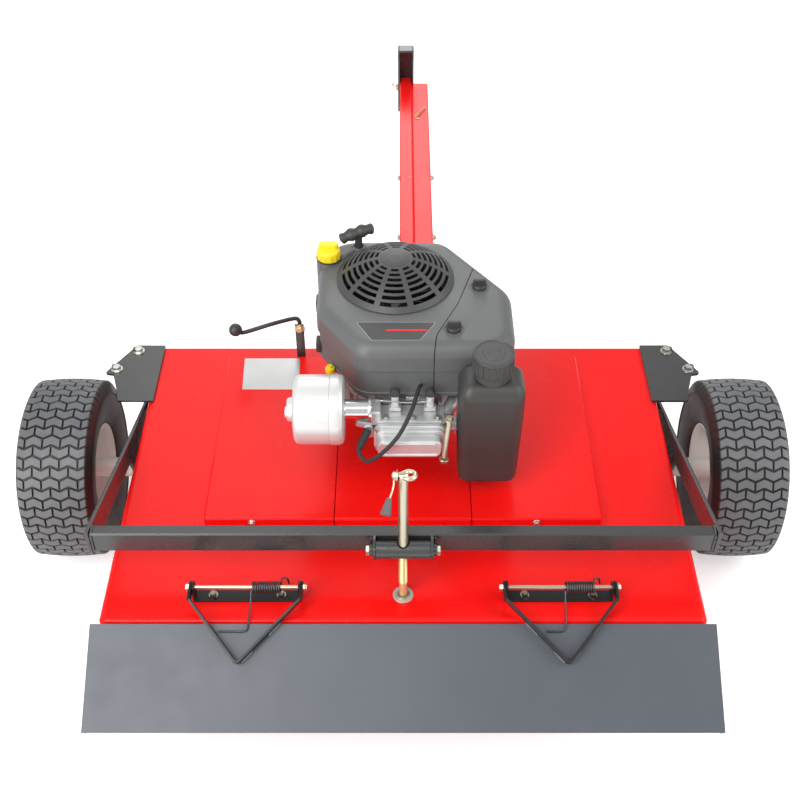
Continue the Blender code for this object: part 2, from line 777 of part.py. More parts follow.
def build_lift(root, trunnion_body, lean_body, crank_body):
    """The trunnion on the crossbar, and the screw that passes through it to the deck."""
    trunnion = turned(
        solid_profile((TRUNNION_RADIUS, TRUNNION_HALF), (TRUNNION_RADIUS, -TRUNNION_HALF)),
        (0.0, TRUNNION_Y, TRUNNION_Z), "X", ROUND,
    )
    pin_reach = TRUNNION_HALF + 2 * SEAT + EAR_SHEET
    pin = turned(
        solid_profile(
            (0.012, pin_reach + 0.007), (0.012, pin_reach),
            (TRUNNION_PIN, pin_reach), (TRUNNION_PIN, -pin_reach),
            (0.012, -pin_reach), (0.012, -pin_reach - 0.007),
        ),
        (0.0, TRUNNION_Y, TRUNNION_Z), "X", SMALL,
    )
    add(trunnion, pin, trunnion_body, "trunnion_pins")
    bore = rods([(0.0, 0.0, 0.0)], clear_of(SCREW_RADIUS, TRUNNION_SLACK), 0.08)
    bore.location = (0.0, TRUNNION_Y, TRUNNION_Z)
    bore.rotation_euler = (-SCREW_LEAN, 0.0, 0.0)
    cut(trunnion, bore, trunnion_body, "screw_bore")
    piece(trunnion, "trunnion", BLACK, trunnion_body)

    top = SEAT + 0.003
    washer = turned(
        [(WASHER_BORE, top), (WASHER_RADIUS, top), (WASHER_RADIUS, SEAT), (WASHER_BORE, SEAT)],
        (0.0, SCREW_FOOT_Y, 0.0), "Z", 16,
    )
    piece(washer, "screw_washer", ZINC, root)

    lean = Euler((-SCREW_LEAN, 0.0, 0.0))
    foot = (0.0, SCREW_FOOT_Y, 0.0)
    bore = clear_of(SCREW_RADIUS, SEAT)
    ball = arc((0.0, 0.0), NUT_BALL, math.radians(22.0), math.radians(-14.0), 4)
    nut = turned(
        [
            (bore, NUT_BASE + NUT_HEIGHT), (NUT_RADIUS, NUT_BASE + NUT_HEIGHT), (NUT_RADIUS, NUT_BASE),
            (NUT_BALL - 0.0016, NUT_BASE), *ball, (bore, ball[-1][1]),
        ],
        foot, lean, SMALL,
    )
    piece(nut, "swivel_nut", ZINC, lean_body)

    screw = turned(
        solid_profile(
            (SCREW_RADIUS - 0.002, SCREW_LENGTH),
            (SCREW_RADIUS, SCREW_LENGTH - 0.002),
            (SCREW_RADIUS, NUT_BASE + NUT_HEIGHT + 0.010 + SEAT),
            (SCREW_RADIUS + 0.004, NUT_BASE + NUT_HEIGHT + 0.010),
            (SCREW_RADIUS + 0.004, NUT_BASE + NUT_HEIGHT + SEAT),
            (SCREW_RADIUS, NUT_BASE + NUT_HEIGHT + SEAT),
            (SCREW_RADIUS, -0.016),
            (SCREW_RADIUS - 0.002, -0.018),
        ),
        foot, lean, SMALL,
    )
    handle = to_mesh(wire(crank_path(), CRANK_WIRE, 1))
    handle.location = foot
    handle.rotation_euler = lean
    add(screw, handle, crank_body, "crank_eye")
    piece(screw, "lift_screw", ZINC, crank_body)


def crank_path():
    """The bent rod at the screw's top: a flat eye on the right and a short tail on the left."""
    height = SCREW_LENGTH - 0.006
    half = CRANK_EYE / 2
    far = CRANK_EYE + 0.004
    path = [(-0.016, -0.003, height), (0.0, 0.004, height), (0.010, half, height + 0.001)]
    path += [(far + half * math.sin(a), half * math.cos(a), height) for a in np.linspace(0.2, 2.9, 6)]
    path += [(0.010, -half * 0.9, height - 0.001)]
    return smooth_path(path, 0.009)


def build_tyre(centre, aim):
    """A turf tyre: zigzag tread ribs across a rounded carcass, closed along its beads."""
    half = TYRE_WIDTH / 2
    bead = RIM_HALF_WIDTH - SEAT
    crown = [TREAD_HALF * share for share in (1.0, 0.5, 0.0, -0.5, -1.0)]
    swing = [0.0, 0.30, 0.0, 0.30, 0.0]
    sag = [0.005, 0.001, 0.0, 0.001, 0.005]
    wall = [
        (TYRE_RADIUS - 0.032, half),
        (BEAD_RADIUS + 0.032, half - 0.005),
        (clear_of(BEAD_RADIUS + RIM_LIP, 0.001, TREAD_RIBS), bead),
        (clear_of(BEAD_RADIUS, SEAT, TREAD_RIBS), bead - 0.001),
    ]
    bm = bmesh.new()
    pitch = TURN / TREAD_RIBS

    def at(radius, across, turn):
        return bm.verts.new((radius * math.cos(turn), radius * math.sin(turn), across))

    ribs = []
    for k in range(TREAD_RIBS):
        lines = []
        for share, low in ((0.0, True), (0.03, False), (0.60, False), (0.63, True)):
            drop = TREAD_DEPTH if low else 0.0
            lines.append([
                at(TYRE_RADIUS - low_by - drop, z, pitch * (k + share + lead))
                for z, low_by, lead in zip(crown, sag, swing)
            ])
        edges = []
        for way in (1, -1):
            shoulder = [
                at(TYRE_RADIUS - 0.015, way * (TREAD_HALF + 0.005), pitch * (k + share))
                for share in (0.0, 0.63)
            ]
            edges.append((shoulder, [at(r, way * z, pitch * k) for r, z in wall]))
        ribs.append((lines, edges))
    for k, (lines, edges) in enumerate(ribs):
        after, after_edges = ribs[(k + 1) % TREAD_RIBS]
        strips = [*lines, after[0]]
        for near, far in zip(strips, strips[1:]):
            for i in range(len(crown) - 1):
                bm.faces.new((near[i], near[i + 1], far[i + 1], far[i]))
        for end, near, far in zip((0, -1), edges, after_edges):
            (first, last), column = near
            (next_first, _), next_column = far
            low, top, top_end, low_end = (line[end] for line in lines)
            rings = [
                (low, top, top_end, low_end),
                (first, low, low_end, last),
                (last, low_end, after[0][end], next_first),
                (column[0], first, last),
                (column[0], last, next_first, next_column[0]),
            ]
            for i in range(len(wall) - 1):
                rings.append((column[i + 1], column[i], next_column[i], next_column[i + 1]))
            for ring in rings:
                bm.faces.new(ring if end == 0 else tuple(reversed(ring)))
        seat = [side[1][-1] for side in (edges[0], after_edges[0], after_edges[1], edges[1])]
        bm.faces.new(seat)
    bmesh.ops.recalc_face_normals(bm, faces=bm.faces)
    tyre = from_bmesh(bm)
    tyre.location = centre
    tyre.rotation_euler = AIM[aim]
    return tyre


def build_wheel(side, word, body):
    """A turf tyre on its pressed rim."""
    centre = (side * WHEEL_X, AXLE_Y, AXLE_Z)
    aim = "X" if side > 0 else "-X"
    piece(build_tyre(centre, aim), f"tyre_{word}", RUBBER, body)
    barrel = BEAD_RADIUS - SEAT
    lip = barrel + RIM_LIP
    inside = barrel - RIM_SHEET
    edge = RIM_HALF_WIDTH
    bore = AXLE_RADIUS + RUNNING
    disc = 0.014
    disc_rim = inside - 0.018
    profile = [
        (bore, HUB_HALF), (HUB_RADIUS, HUB_HALF), (HUB_RADIUS, disc + 0.012),
        (disc_rim, disc), (inside, disc + 0.004), (inside, edge),
        (lip, edge + RIM_SHEET), (lip, edge), (barrel, edge),
        (barrel, -edge), (lip, -edge), (lip, -edge - RIM_SHEET),
        (inside, -edge), (inside, disc), (disc_rim, disc - 0.004),
        (HUB_RADIUS, disc + 0.008), (HUB_RADIUS, -HUB_HALF), (bore, -HUB_HALF),
    ]
    rim = turned(profile, centre, aim, ROUND)
    piece(rim, f"rim_{word}", CREAM, body)


def flap_frame(x=0.0):
    """Axes on the flap's upper face, from its front edge: across, up its slope and out of it."""
    up_slope = -FLAP_DIRECTION
    return Matrix((
        (1.0, up_slope.x, FLAP_NORMAL.x, x),
        (0.0, up_slope.y, FLAP_NORMAL.y, FLAP_EDGE.y),
        (0.0, up_slope.z, FLAP_NORMAL.z, FLAP_EDGE.z),
        (0.0, 0.0, 0.0, 1.0),
    ))


def build_flap(body):
    """The steel flap behind the deck, with its bent side flanges."""
    half = FLAP_HALF_WIDTH
    flange = 0.030
    start = FLAP_LENGTH * 0.55
    bm = bmesh.new()
    corners = [(-half, 0.0, 0.0), (-half, -start, 0.0), (-half, -FLAP_LENGTH, 0.0)]
    left = [bm.verts.new(p) for p in corners]
    right = [bm.verts.new((-x, y, z)) for x, y, z in corners]
    bm.faces.new([left[0], right[0], right[1], right[2], left[2], left[1]])
    for row in (left, right):
        tip = bm.verts.new((row[2].co.x, -FLAP_LENGTH, -flange))
        bm.faces.new([row[1], row[2], tip])
    bmesh.ops.recalc_face_normals(bm, faces=bm.faces)
    if bm.faces[0].normal.z < 0:
        bmesh.ops.reverse_faces(bm, faces=bm.faces)
    bm.transform(flap_frame())
    flap = from_bmesh(bm)
    solidify(flap, FLAP_SHEET)
    return piece(flap, "rear_flap", FLAP_GREY, body)


def build_hinge(side, word, root, flap_body):
    """One flap hinge: its bracket and pin on the deck, and its bent strap and spring."""
    centre = side * HINGE_X
    ear_x = HINGE_HALF - HINGE_SHEET / 2
    base_rear = HINGE_Y - 0.013
    base_front = HINGE_Y + 0.013
    base = box(
        (2 * HINGE_HALF, base_front - base_rear, HINGE_SHEET),
        (centre, (base_rear + base_front) / 2, SEAT + HINGE_SHEET / 2),
    )
    for end in (-1, 1):
        outline = rounded([
            (base_rear, SEAT, 0.0), (base_front, SEAT, 0.0),
            (base_front, HINGE_Z + 0.011, 0.010), (base_rear, HINGE_Z + 0.011, 0.010),
        ], 3)
        hole = circle((HINGE_Y, HINGE_Z), clear_of(HINGE_PIN_RADIUS, RUNNING, 8), 8)
        ear = plate([outline, hole], HINGE_SHEET, side_at(centre + end * ear_x))
        add(base, ear, root, "bracket_ear")
    heads = [(centre + dx, base_rear + 0.007, SEAT + HINGE_SHEET + 0.0025) for dx in (-0.066, 0.066)]
    add(base, rods(heads, 0.0065, 0.0065, "Z", 6), root, "bolt_heads")
    piece(base, f"hinge_bracket_{word}", BLACK, root)

    strap_x = HINGE_HALF + SEAT + STRAP_SHEET / 2
    reach = strap_x + STRAP_SHEET / 2 + SEAT
    pin = turned(
        solid_profile(
            (0.0085, reach + 0.0065), (0.0085, reach),
            (HINGE_PIN_RADIUS, reach), (HINGE_PIN_RADIUS, -reach),
            (0.0085, -reach), (0.0085, -reach - 0.0065),
        ),
        (centre, HINGE_Y, HINGE_Z), "X", SMALL,
    )
    piece(pin, f"hinge_pin_{word}", ZINC, root)

    apex = centre + side * STRAP_APEX
    apex_run = 0.064
    knee_y = HINGE_Y - 0.024
    knee_run = -(knee_y - FLAP_EDGE.y) / math.cos(FLAP_SLOPE)
    half = STRAP_SHEET / 2
    bar = [
        (centre - strap_x - half, -knee_run),
        (centre - strap_x + half, -knee_run),
        (apex, -apex_run + 2.2 * half),
        (centre + strap_x - half, -knee_run),
        (centre + strap_x + half, -knee_run),
        (apex + 1.6 * half, -apex_run),
        (apex - 1.6 * half, -apex_run),
    ]
    lift = flap_frame() @ Matrix.Translation((0.0, 0.0, SEAT + STRAP_HEIGHT / 2))
    strap = plate([bar], STRAP_HEIGHT, lift)
    knee = FLAP_EDGE + FLAP_DIRECTION * knee_run + FLAP_NORMAL * SEAT
    knee_top = knee + FLAP_NORMAL * STRAP_HEIGHT
    for end in (-1, 1):
        outline = [(knee.y - 0.004, knee.z - 0.0022), (knee.y + 0.004, knee.z)]
        outline += arc((HINGE_Y, HINGE_Z), 0.0125, math.radians(-80), math.radians(90), 5)
        outline += [(knee_top.y, knee_top.z), (knee_top.y - 0.004, knee_top.z - 0.0022)]
        hole = circle((HINGE_Y, HINGE_Z), clear_of(HINGE_PIN_RADIUS, RUNNING, 8), 8)
        ear = plate([outline, hole], STRAP_SHEET, side_at(centre + end * strap_x))
        add(strap, ear, flap_body, "strap_ear")
    piece(strap, f"flap_strap_{word}", BLACK, flap_body)

    spring = wire(spring_path(centre, SPRING_TAIL - side * 0.009), SPRING_WIRE, 1)
    piece(spring, f"flap_spring_{word}", STEEL, root)


def spring_path(centre, tail_length):
    """The hinge spring: a hook, the coil round the pin and a long leg that lies on the flap."""
    start = centre + 0.010
    length = SPRING_TURNS * SPRING_PITCH
    steps = round(CURL_POINTS * SPRING_TURNS)
    coil = []
    for i in range(steps + 1):
        angle = math.pi + TURN * i / CURL_POINTS
        x = start + length * i / steps
        y = HINGE_Y + SPRING_RADIUS * math.cos(angle)
        coil.append((x, y, HINGE_Z + SPRING_RADIUS * math.sin(angle)))
    check_spring_gap(np.array(coil))
    above = SPRING_WIRE + 0.0016
    leg_run = 0.012
    bend = FLAP_EDGE + FLAP_DIRECTION * leg_run + FLAP_NORMAL * above
    tail = [
        (start - tail_length, bend.y - 0.002, bend.z - 0.001),
        (start - 0.010, bend.y - 0.002, bend.z - 0.001),
        (start - 0.0035, bend.y + 0.006, bend.z + 0.0045),
        (start - 0.001, HINGE_Y - 0.030, HINGE_Z - 0.015),
        (start - 0.0004, HINGE_Y - SPRING_RADIUS - 0.006, HINGE_Z - 0.006),
    ]
    end = start + length
    hook = [
        (end + 0.001, HINGE_Y + SPRING_RADIUS + 0.002, HINGE_Z + 0.003),
        (end + 0.003, HINGE_Y + SPRING_RADIUS + 0.009, HINGE_Z + 0.004),
        (end + 0.011, HINGE_Y + SPRING_RADIUS + 0.010, HINGE_Z + 0.001),
        (end + 0.014, HINGE_Y + SPRING_RADIUS + 0.008, HINGE_Z - 0.012),
    ]
    return tail + coil + hook


def check_spring_gap(points):
    """Prints the least gap between the surfaces of neighbouring turns of the coil."""
    apart = np.linalg.norm(points[:, None, :] - points[None, :, :], axis=2)
    index = np.arange(len(points))
    near = np.abs(index[:, None] - index[None, :]) < 5
    apart[near] = np.inf
    print(f"spring: least gap between turns {1000 * (apart.min() - 2 * SPRING_WIRE):.2f} mm")


def build_tongue(root, body):
    """The tow bar: its bracket on the deck, the tube, the draw bar beside it and the hitch."""
    gap = TUBE_SIZE / 2 + SEAT
    sheet = TONGUE_BRACKET_SHEET
    bracket = box(
        (TONGUE_BRACKET_WIDTH, sheet, TONGUE_BRACKET_HEIGHT),
        (TUBE_X, DECK_LENGTH + SEAT + sheet / 2, TONGUE_Z - 0.012),
    )
    for end in (-1, 1):
        level = TONGUE_Z + end * (gap + sheet / 2)
        corners = [
            (TUBE_X - 0.050, DECK_LENGTH + SEAT + 0.002, 0.0),
            (TUBE_X + 0.050, DECK_LENGTH + SEAT + 0.002, 0.0),
            (TUBE_X + 0.035, TONGUE_PIVOT_Y + 0.028, 0.022),
            (TUBE_X - 0.035, TONGUE_PIVOT_Y + 0.028, 0.022),
        ]
        shelf = plate([rounded(corners)], sheet, flat_at(level))
        add(bracket, shelf, root, "bracket_shelf")
    pin = rods([(TUBE_X, TONGUE_PIVOT_Y, TONGUE_Z)], TONGUE_PIN_RADIUS, 2 * gap + 0.034)
    add(bracket, pin, root, "pivot_pin")
    piece(bracket, "tongue_bracket", BLACK, root)

    tube, inner = square_tube(TUBE_SIZE, TUBE_SIZE, TUBE_WALL, TONGUE_REAR, TONGUE_FRONT, TUBE_X, TONGUE_Z)
    cut(tube, inner, body, "tube_bore")
    hole = rods([(TUBE_X, TONGUE_PIVOT_Y, TONGUE_Z)], clear_of(TONGUE_PIN_RADIUS, RUNNING), 0.08)
    cut(tube, hole, body, "pivot_hole")
    piece(tube, "tongue_tube", RED, body)

    bar_end = POST_FRONT - POST_WALL - SEAT
    bar, inner = square_tube(
        DRAW_BAR_WIDTH, TUBE_SIZE, TUBE_WALL, DRAW_BAR_REAR, bar_end, DRAW_BAR_X, TONGUE_Z
    )
    cut(bar, inner, body, "bar_bore")
    across = [(DRAW_BAR_X, PIN_Y, TONGUE_Z)]
    cut(bar, rods(across, clear_of(HITCH_PIN_RADIUS, SEAT, 8), 0.08, "X", 8), body, "pin_hole")
    piece(bar, "draw_bar", RED, body)

    low = TONGUE_Z - TUBE_SIZE / 2 - POST_BELOW + 0.025
    post = box(
        (POST_WIDTH, POST_DEPTH, POST_HEIGHT),
        (DRAW_BAR_X, (POST_REAR + POST_FRONT) / 2, low + POST_HEIGHT / 2),
    )
    bevel(post, 0.004, 1)
    slot = box(
        (DRAW_BAR_WIDTH + 2 * SEAT, POST_DEPTH, POST_HEIGHT + 0.02),
        (DRAW_BAR_X, POST_REAR + POST_DEPTH / 2 - POST_WALL, low + POST_HEIGHT / 2 - POST_WALL - 0.01),
    )
    cut(post, slot, body, "post_channel")
    notch_x = POST_WIDTH / 2 + 0.006
    notch_z = low + POST_HEIGHT - 0.020
    notches = boxes([
        ((0.02, POST_DEPTH, 0.018), (DRAW_BAR_X + s * notch_x, POST_REAR, notch_z)) for s in (-1, 1)
    ])
    cut(post, notches, body, "post_notches")
    levels = [(DRAW_BAR_X, PIN_Y, TONGUE_Z + step * 0.038) for step in (0, 1, 2)]
    cut(post, rods(levels, clear_of(HITCH_PIN_RADIUS, SEAT, 8), 0.08, "X", 8), body, "post_holes")
    piece(post, "hitch_post", BLACK, body)

    reach = POST_WIDTH / 2 + SEAT
    pin = turned(
        solid_profile(
            (0.005, reach + 0.016), (HITCH_PIN_RADIUS, reach + 0.014), (HITCH_PIN_RADIUS, -reach),
            (0.011, -reach), (0.011, -reach - 0.004), (0.009, -reach - 0.006),
        ),
        (DRAW_BAR_X, PIN_Y, TONGUE_Z), "X", SMALL,
    )
    piece(pin, "hitch_pin", ZINC, body)


def pulley_profile(radius, bore):
    """A flat-bottomed belt groove between two flanges, as a ring profile."""
    low = BELT_BOTTOM - SEAT - PULLEY_FLANGE
    high = BELT_TOP + SEAT + PULLEY_FLANGE
    floor = radius - BELT_DEPTH / 2 - BELT_SLACK
    rim = radius + BELT_DEPTH / 2 + 0.001
    return [
        (bore, high), (rim, high), (rim, high - 0.001), (floor, high - PULLEY_FLANGE),
        (floor, low + PULLEY_FLANGE), (rim, low + 0.001), (rim, low), (bore, low),
    ]


def build_spindle(side, word, root, body):
    """A blade spindle: housing under the deck, pulley and shaft in one, and its blade."""
    x = side * SPINDLE_X
    y = SPINDLE_Y_LEFT if side < 0 else SPINDLE_Y_RIGHT
    under = -DECK_SHEET - SEAT
    housing_end = BLADE_Z + 0.028
    bore = clear_of(SHAFT_RADIUS, RUNNING)
    housing = turned(
        [
            (bore, under), (0.062, under), (0.062, under - 0.008), (0.040, under - 0.012),
            (0.034, housing_end), (bore, housing_end),
        ],
        (x, y, 0.0), "Z", SMALL,
    )
    piece(housing, f"spindle_housing_{word}", CAST, root)

    groove = pulley_profile(SPINDLE_PULLEY_RADIUS, 0.0)
    blade_top = BLADE_Z + BLADE_SHEET / 2 + SEAT
    blade_low = BLADE_Z - BLADE_SHEET / 2 - SEAT
    profile = [
        (0.0, groove[0][1] + 0.006), (0.015, groove[0][1] + 0.006), (0.015, groove[0][1]),
        *groove[1:7],
        (SHAFT_RADIUS, groove[7][1]), (SHAFT_RADIUS, housing_end - SEAT),
        (0.024, housing_end - SEAT), (0.024, blade_top),
        (SHAFT_RADIUS, blade_top), (SHAFT_RADIUS, blade_low), (0.018, blade_low),
        (0.018, blade_low - 0.012), (0.0, blade_low - 0.012),
    ]
    spindle = turned(profile, (x, y, 0.0), "Z", SMALL)
    piece(spindle, f"spindle_{word}", CAST, body)
    piece(blade_shape(x, y), f"blade_{word}", BLACK, body)


def blade_shape(x, y):
    """A high-lift blade: flat in the middle, with its trailing edges turned up at the tips."""
    across, along = 2, 10
    bm = bmesh.new()
    bmesh.ops.create_grid(bm, x_segments=along, y_segments=across, size=0.5)
    for v in bm.verts:
        run = v.co.x * BLADE_LENGTH
        wide = v.co.y * BLADE_WIDTH
        tip = max(0.0, abs(run) - BLADE_LENGTH * 0.32) / (BLADE_LENGTH * 0.18)
        trailing = max(0.0, -math.copysign(1.0, run) * v.co.y) * 2.0
        v.co = Vector((run, wide, 0.018 * min(1.0, tip) ** 2 * trailing**2))
    blade = from_bmesh(bm)
    blade.location = (x, y, BLADE_Z)
    solidify(blade, BLADE_SHEET, 0.0)
    hole = rods([(x, y, BLADE_Z)], clear_of(SHAFT_RADIUS, SEAT), 0.03)
    return cut(blade, hole, BODIES[f"spindle_{'left' if x < 0 else 'right'}_axis"], "blade_hole")


def build_belt(root):
    """The drive belt round the engine pulley and both spindle pulleys."""
    wheels = [
        (Vector((-SPINDLE_X, SPINDLE_Y_LEFT)), SPINDLE_PULLEY_RADIUS),
        (Vector((SPINDLE_X, SPINDLE_Y_RIGHT)), SPINDLE_PULLEY_RADIUS),
        (Vector((CRANK_X, CRANK_Y)), ENGINE_PULLEY_RADIUS),
    ]
    rim = belt_outline(wheels, BELT_DEPTH / 2)
    inside = belt_outline(wheels, -BELT_DEPTH / 2)
    belt = plate([rim, inside], BELT_HEIGHT, flat_at(BELT_Z))
    piece(belt, "drive_belt", BELT_RUBBER, root)


def belt_outline(wheels, offset, count=8):
    """The closed line round the wheels, anticlockwise, at an offset from their belt line."""
    normals = []
    total = len(wheels)
    for i in range(total):
        (here, radius), (there, other) = wheels[i], wheels[(i + 1) % total]
        run = there - here
        lean = math.asin((radius - other) / run.length)
        way = math.atan2(run.y, run.x) - math.pi / 2 + lean
        normals.append(way)
    outline = []
    for i, (centre, radius) in enumerate(wheels):
        start = normals[i - 1]
        sweep = (normals[i] - start) % TURN
        outline += arc(centre, radius + offset, start, start + sweep, count)
    return outline


def idler_place():
    """The idler's centre, pressed on the outside of the belt's left strand, and its arm's pivot."""
    a = Vector((CRANK_X, CRANK_Y))
    b = Vector((-SPINDLE_X, SPINDLE_Y_LEFT))
    run = b - a
    lean = math.asin((ENGINE_PULLEY_RADIUS - SPINDLE_PULLEY_RADIUS) / run.length)
    way = math.atan2(run.y, run.x) - math.pi / 2 + lean
    out = -Vector((math.cos(way), math.sin(way)))
    normal = -out
    first = a + normal * ENGINE_PULLEY_RADIUS
    last = b + normal * SPINDLE_PULLEY_RADIUS
    touch = first.lerp(last, 0.42)
    centre = touch + normal * (BELT_DEPTH / 2 + IDLER_RADIUS + SEAT)
    pivot = centre + Vector((-0.25, 0.97)).normalized() * IDLER_ARM
    return centre, pivot


def build_idler(root, arm_body, pulley_body):
    """The belt's idler pulley on its swinging arm."""
    centre, pivot = idler_place()
    low = BELT_BOTTOM - SEAT
    arm_top = low - PULLEY_FLANGE - SEAT
    arm_sheet = 0.005
    way = math.atan2(pivot.y - centre.y, pivot.x - centre.x)
    outline = arc(centre, 0.014, way + math.pi / 2, way + 1.5 * math.pi, 5)
    outline += arc(pivot, 0.014, way - math.pi / 2, way + math.pi / 2, 5)
    arm = plate([outline], arm_sheet, flat_at(arm_top - arm_sheet / 2))
    stud = rods([(centre.x, centre.y, BELT_Z - 0.001)], IDLER_STUD, 0.028)
    add(arm, stud, arm_body, "idler_stud")
    hub = rods([(pivot.x, pivot.y, SEAT + 0.011)], 0.009, 0.022)
    add(arm, hub, arm_body, "arm_hub")
    piece(arm, "idler_arm", BLACK, arm_body)
    bore = clear_of(IDLER_STUD, RUNNING, 16)
    profile = [
        (bore, BELT_TOP + 0.003), (IDLER_RADIUS, BELT_TOP + 0.003),
        (IDLER_RADIUS, low - 0.002), (bore, low - 0.002),
    ]
    pulley = turned(profile, (centre.x, centre.y, 0.0), "Z", 16)
    piece(pulley, "idler_pulley", STEEL, pulley_body)


def build_lever(root, body):
    """The clutch lever at the front left of the covers, in its upright bracket."""
    foot_top = SEAT + 0.004
    strap_y = LEVER_Y - LEVER_RADIUS - RUNNING - 0.004 - LEVER_STRAP_SHEET / 2
    height = LEVER_TOP - 0.008
    middle = (strap_y - LEVER_STRAP_SHEET / 2 + LEVER_Y + 0.012) / 2
    depth = LEVER_Y + 0.012 - strap_y + LEVER_STRAP_SHEET / 2
    bracket = box((LEVER_STRAP + 0.012, depth, 0.004), (LEVER_X, middle, SEAT + 0.002))
    strap = box((LEVER_STRAP, LEVER_STRAP_SHEET, height), (LEVER_X, strap_y, SEAT + height / 2))
    add(bracket, strap, root, "bracket_upright")
    shelf = box((LEVER_STRAP, depth, 0.004), (LEVER_X, middle, LEVER_TOP - 0.036))
    add(bracket, shelf, root, "bracket_shelf")
    through = rods([(LEVER_X, LEVER_Y, 0.06)], clear_of(LEVER_RADIUS, RUNNING, 8), 0.20, "Z", 8)
    cut(bracket, through, root, "rod_holes")
    piece(bracket, "lever_bracket", BLACK, root)

    left = LEVER_X - LEVER_LENGTH
    rear = LEVER_Y - 0.050
    path = [
        (LEVER_X, LEVER_Y, foot_top - 0.0035),
        (LEVER_X, LEVER_Y, LEVER_TOP * 0.5),
        (LEVER_X, LEVER_Y, LEVER_TOP - 0.012),
        (LEVER_X - 0.004, LEVER_Y + 0.001, LEVER_TOP - 0.003),
        (LEVER_X - 0.014, LEVER_Y, LEVER_TOP),
        (LEVER_X - 0.060, LEVER_Y - 0.020, LEVER_TOP + 0.001),
        (left + 0.022, rear + 0.010, LEVER_TOP - 0.006),
        (left + 0.008, rear + 0.004, LEVER_TOP - 0.002),
        (left, rear, LEVER_TOP + 0.008),
    ]
    rod = to_mesh(wire(path, LEVER_RADIUS, 2))
    bm = bmesh.new()
    bmesh.ops.create_uvsphere(bm, u_segments=12, v_segments=7, radius=BALL_RADIUS)
    ball = from_bmesh(bm)
    ball.location = (left, rear, LEVER_TOP + 0.008)
    add(rod, ball, body, "lever_ball")
    piece(rod, "clutch_lever", BLACK, body)


def housing_shell():
    """The engine's outer form: a rounded outline, closed on top and open underneath."""
    outline = rounded([
        (HOUSING_LEFT, HOUSING_SHOULDER, 0.050), (HOUSING_WAIST, HOUSING_REAR, 0.050),
        (HOUSING_RIGHT, HOUSING_REAR, 0.060), (HOUSING_RIGHT, HOUSING_SLOPE_Y, 0.070),
        (HOUSING_SLOPE_X, HOUSING_FRONT, 0.060), (HOUSING_LEFT, HOUSING_FRONT, 0.080),
    ], 4)
    height = HOUSING_TOP - HOUSING_BOTTOM
    shell = plate([outline], height, flat_at((HOUSING_TOP + HOUSING_BOTTOM) / 2))
    bm = bmesh.new()
    bm.from_mesh(shell.data)
    floor = [f for f in bm.faces if f.calc_center_median().z < HOUSING_BOTTOM + 0.001]
    bmesh.ops.delete(bm, geom=floor, context="FACES")
    bmesh.ops.dissolve_limit(bm, angle_limit=0.01, verts=bm.verts, edges=bm.edges)
    bm.to_mesh(shell.data)
    bm.free()
    bevel(shell, HOUSING_ROUND, 3, 60.0)
    return solidify(shell, HOUSING_SHELL)


def seam_region(gap):
    """The part of the engine's outline that belongs to the air cleaner cover."""
    line = [(0.150, 0.80), (0.154, 0.660), (0.112, 0.520), (0.066, 0.420), (0.056, 0.340)]
    outline = [(x + gap, y) for x, y in line] + [(0.30, 0.340), (0.30, 0.80)]
    return plate([outline], 0.20, flat_at(0.30))


def build_engine_shell(root, knob_bodies):
    """The blower housing, the cover of the air cleaner beside it and that cover's knobs."""
    housing = housing_shell()
    cut(housing, seam_region(-0.0004), root, "cover_side")
    mouth = rods([(CRANK_X, CRANK_Y, HOUSING_TOP)], GRILLE_RADIUS - 0.004, 0.05, "Z", 36)
    cut(housing, mouth, root, "grille_mouth")
    tower_radius = DIPSTICK_RADIUS + 0.0015
    tower = turned(
        [
            (0.014, HOUSING_TOP + 0.004), (DIPSTICK_RADIUS, HOUSING_TOP + 0.004),
            (tower_radius, HOUSING_TOP - 0.002), (tower_radius, HOUSING_BOTTOM + 0.03),
            (0.014, HOUSING_BOTTOM + 0.03),
        ],
        (DIPSTICK_X, DIPSTICK_Y, 0.0), "Z", 16,
    )
    bore = rods([(DIPSTICK_X, DIPSTICK_Y, HOUSING_TOP - 0.05)], 0.0138, 0.14)
    add(housing, tower, root, "oil_tower")
    cut(housing, bore, root, "oil_bore")
    rope = rods([(STARTER_X, STARTER_Y, HOUSING_TOP - 0.01)], 0.004, 0.05, "Z", 8)
    cut(housing, rope, root, "rope_hole")
    piece(housing, "blower_housing", SHROUD, root)

    cover = housing_shell()
    boolean(cover, tool(seam_region(0.0004), root, "cover_region"), "INTERSECT")
    mouth = rods([(CRANK_X, CRANK_Y, HOUSING_TOP)], GRILLE_RADIUS + 0.004, 0.05, "Z", 36)
    cut(cover, mouth, root, "grille_room")
    spots = [(x, y, HOUSING_TOP) for x, y in KNOBS]
    cut(cover, rods(spots, clear_of(0.005, RUNNING, 8), 0.05, "Z", 8), root, "knob_holes")
    piece(cover, "air_cleaner_cover", SHROUD, root)
    for (x, y), word, body in zip(KNOBS, ("front", "rear"), knob_bodies):
        top = HOUSING_TOP + SEAT
        knob = turned(
            solid_profile(
                (0.013, top + 0.008), (0.0145, top + 0.006), (0.015, top),
                (0.005, top), (0.005, top - 0.012),
            ),
            (x, y, 0.0), "Z", SMALL,
        )
        wing = bevel(box((0.026, 0.007, 0.014), (x, y, top + 0.012)), 0.002, 1)
        add(knob, wing, body, "knob_wing")
        piece(knob, f"cover_knob_{word}", TANK, body)


def dome_height(radius):
    """The grille's height over the housing at a radius."""
    share = radius / GRILLE_RADIUS
    return GRILLE_RISE * (1.0 - share**2.2)


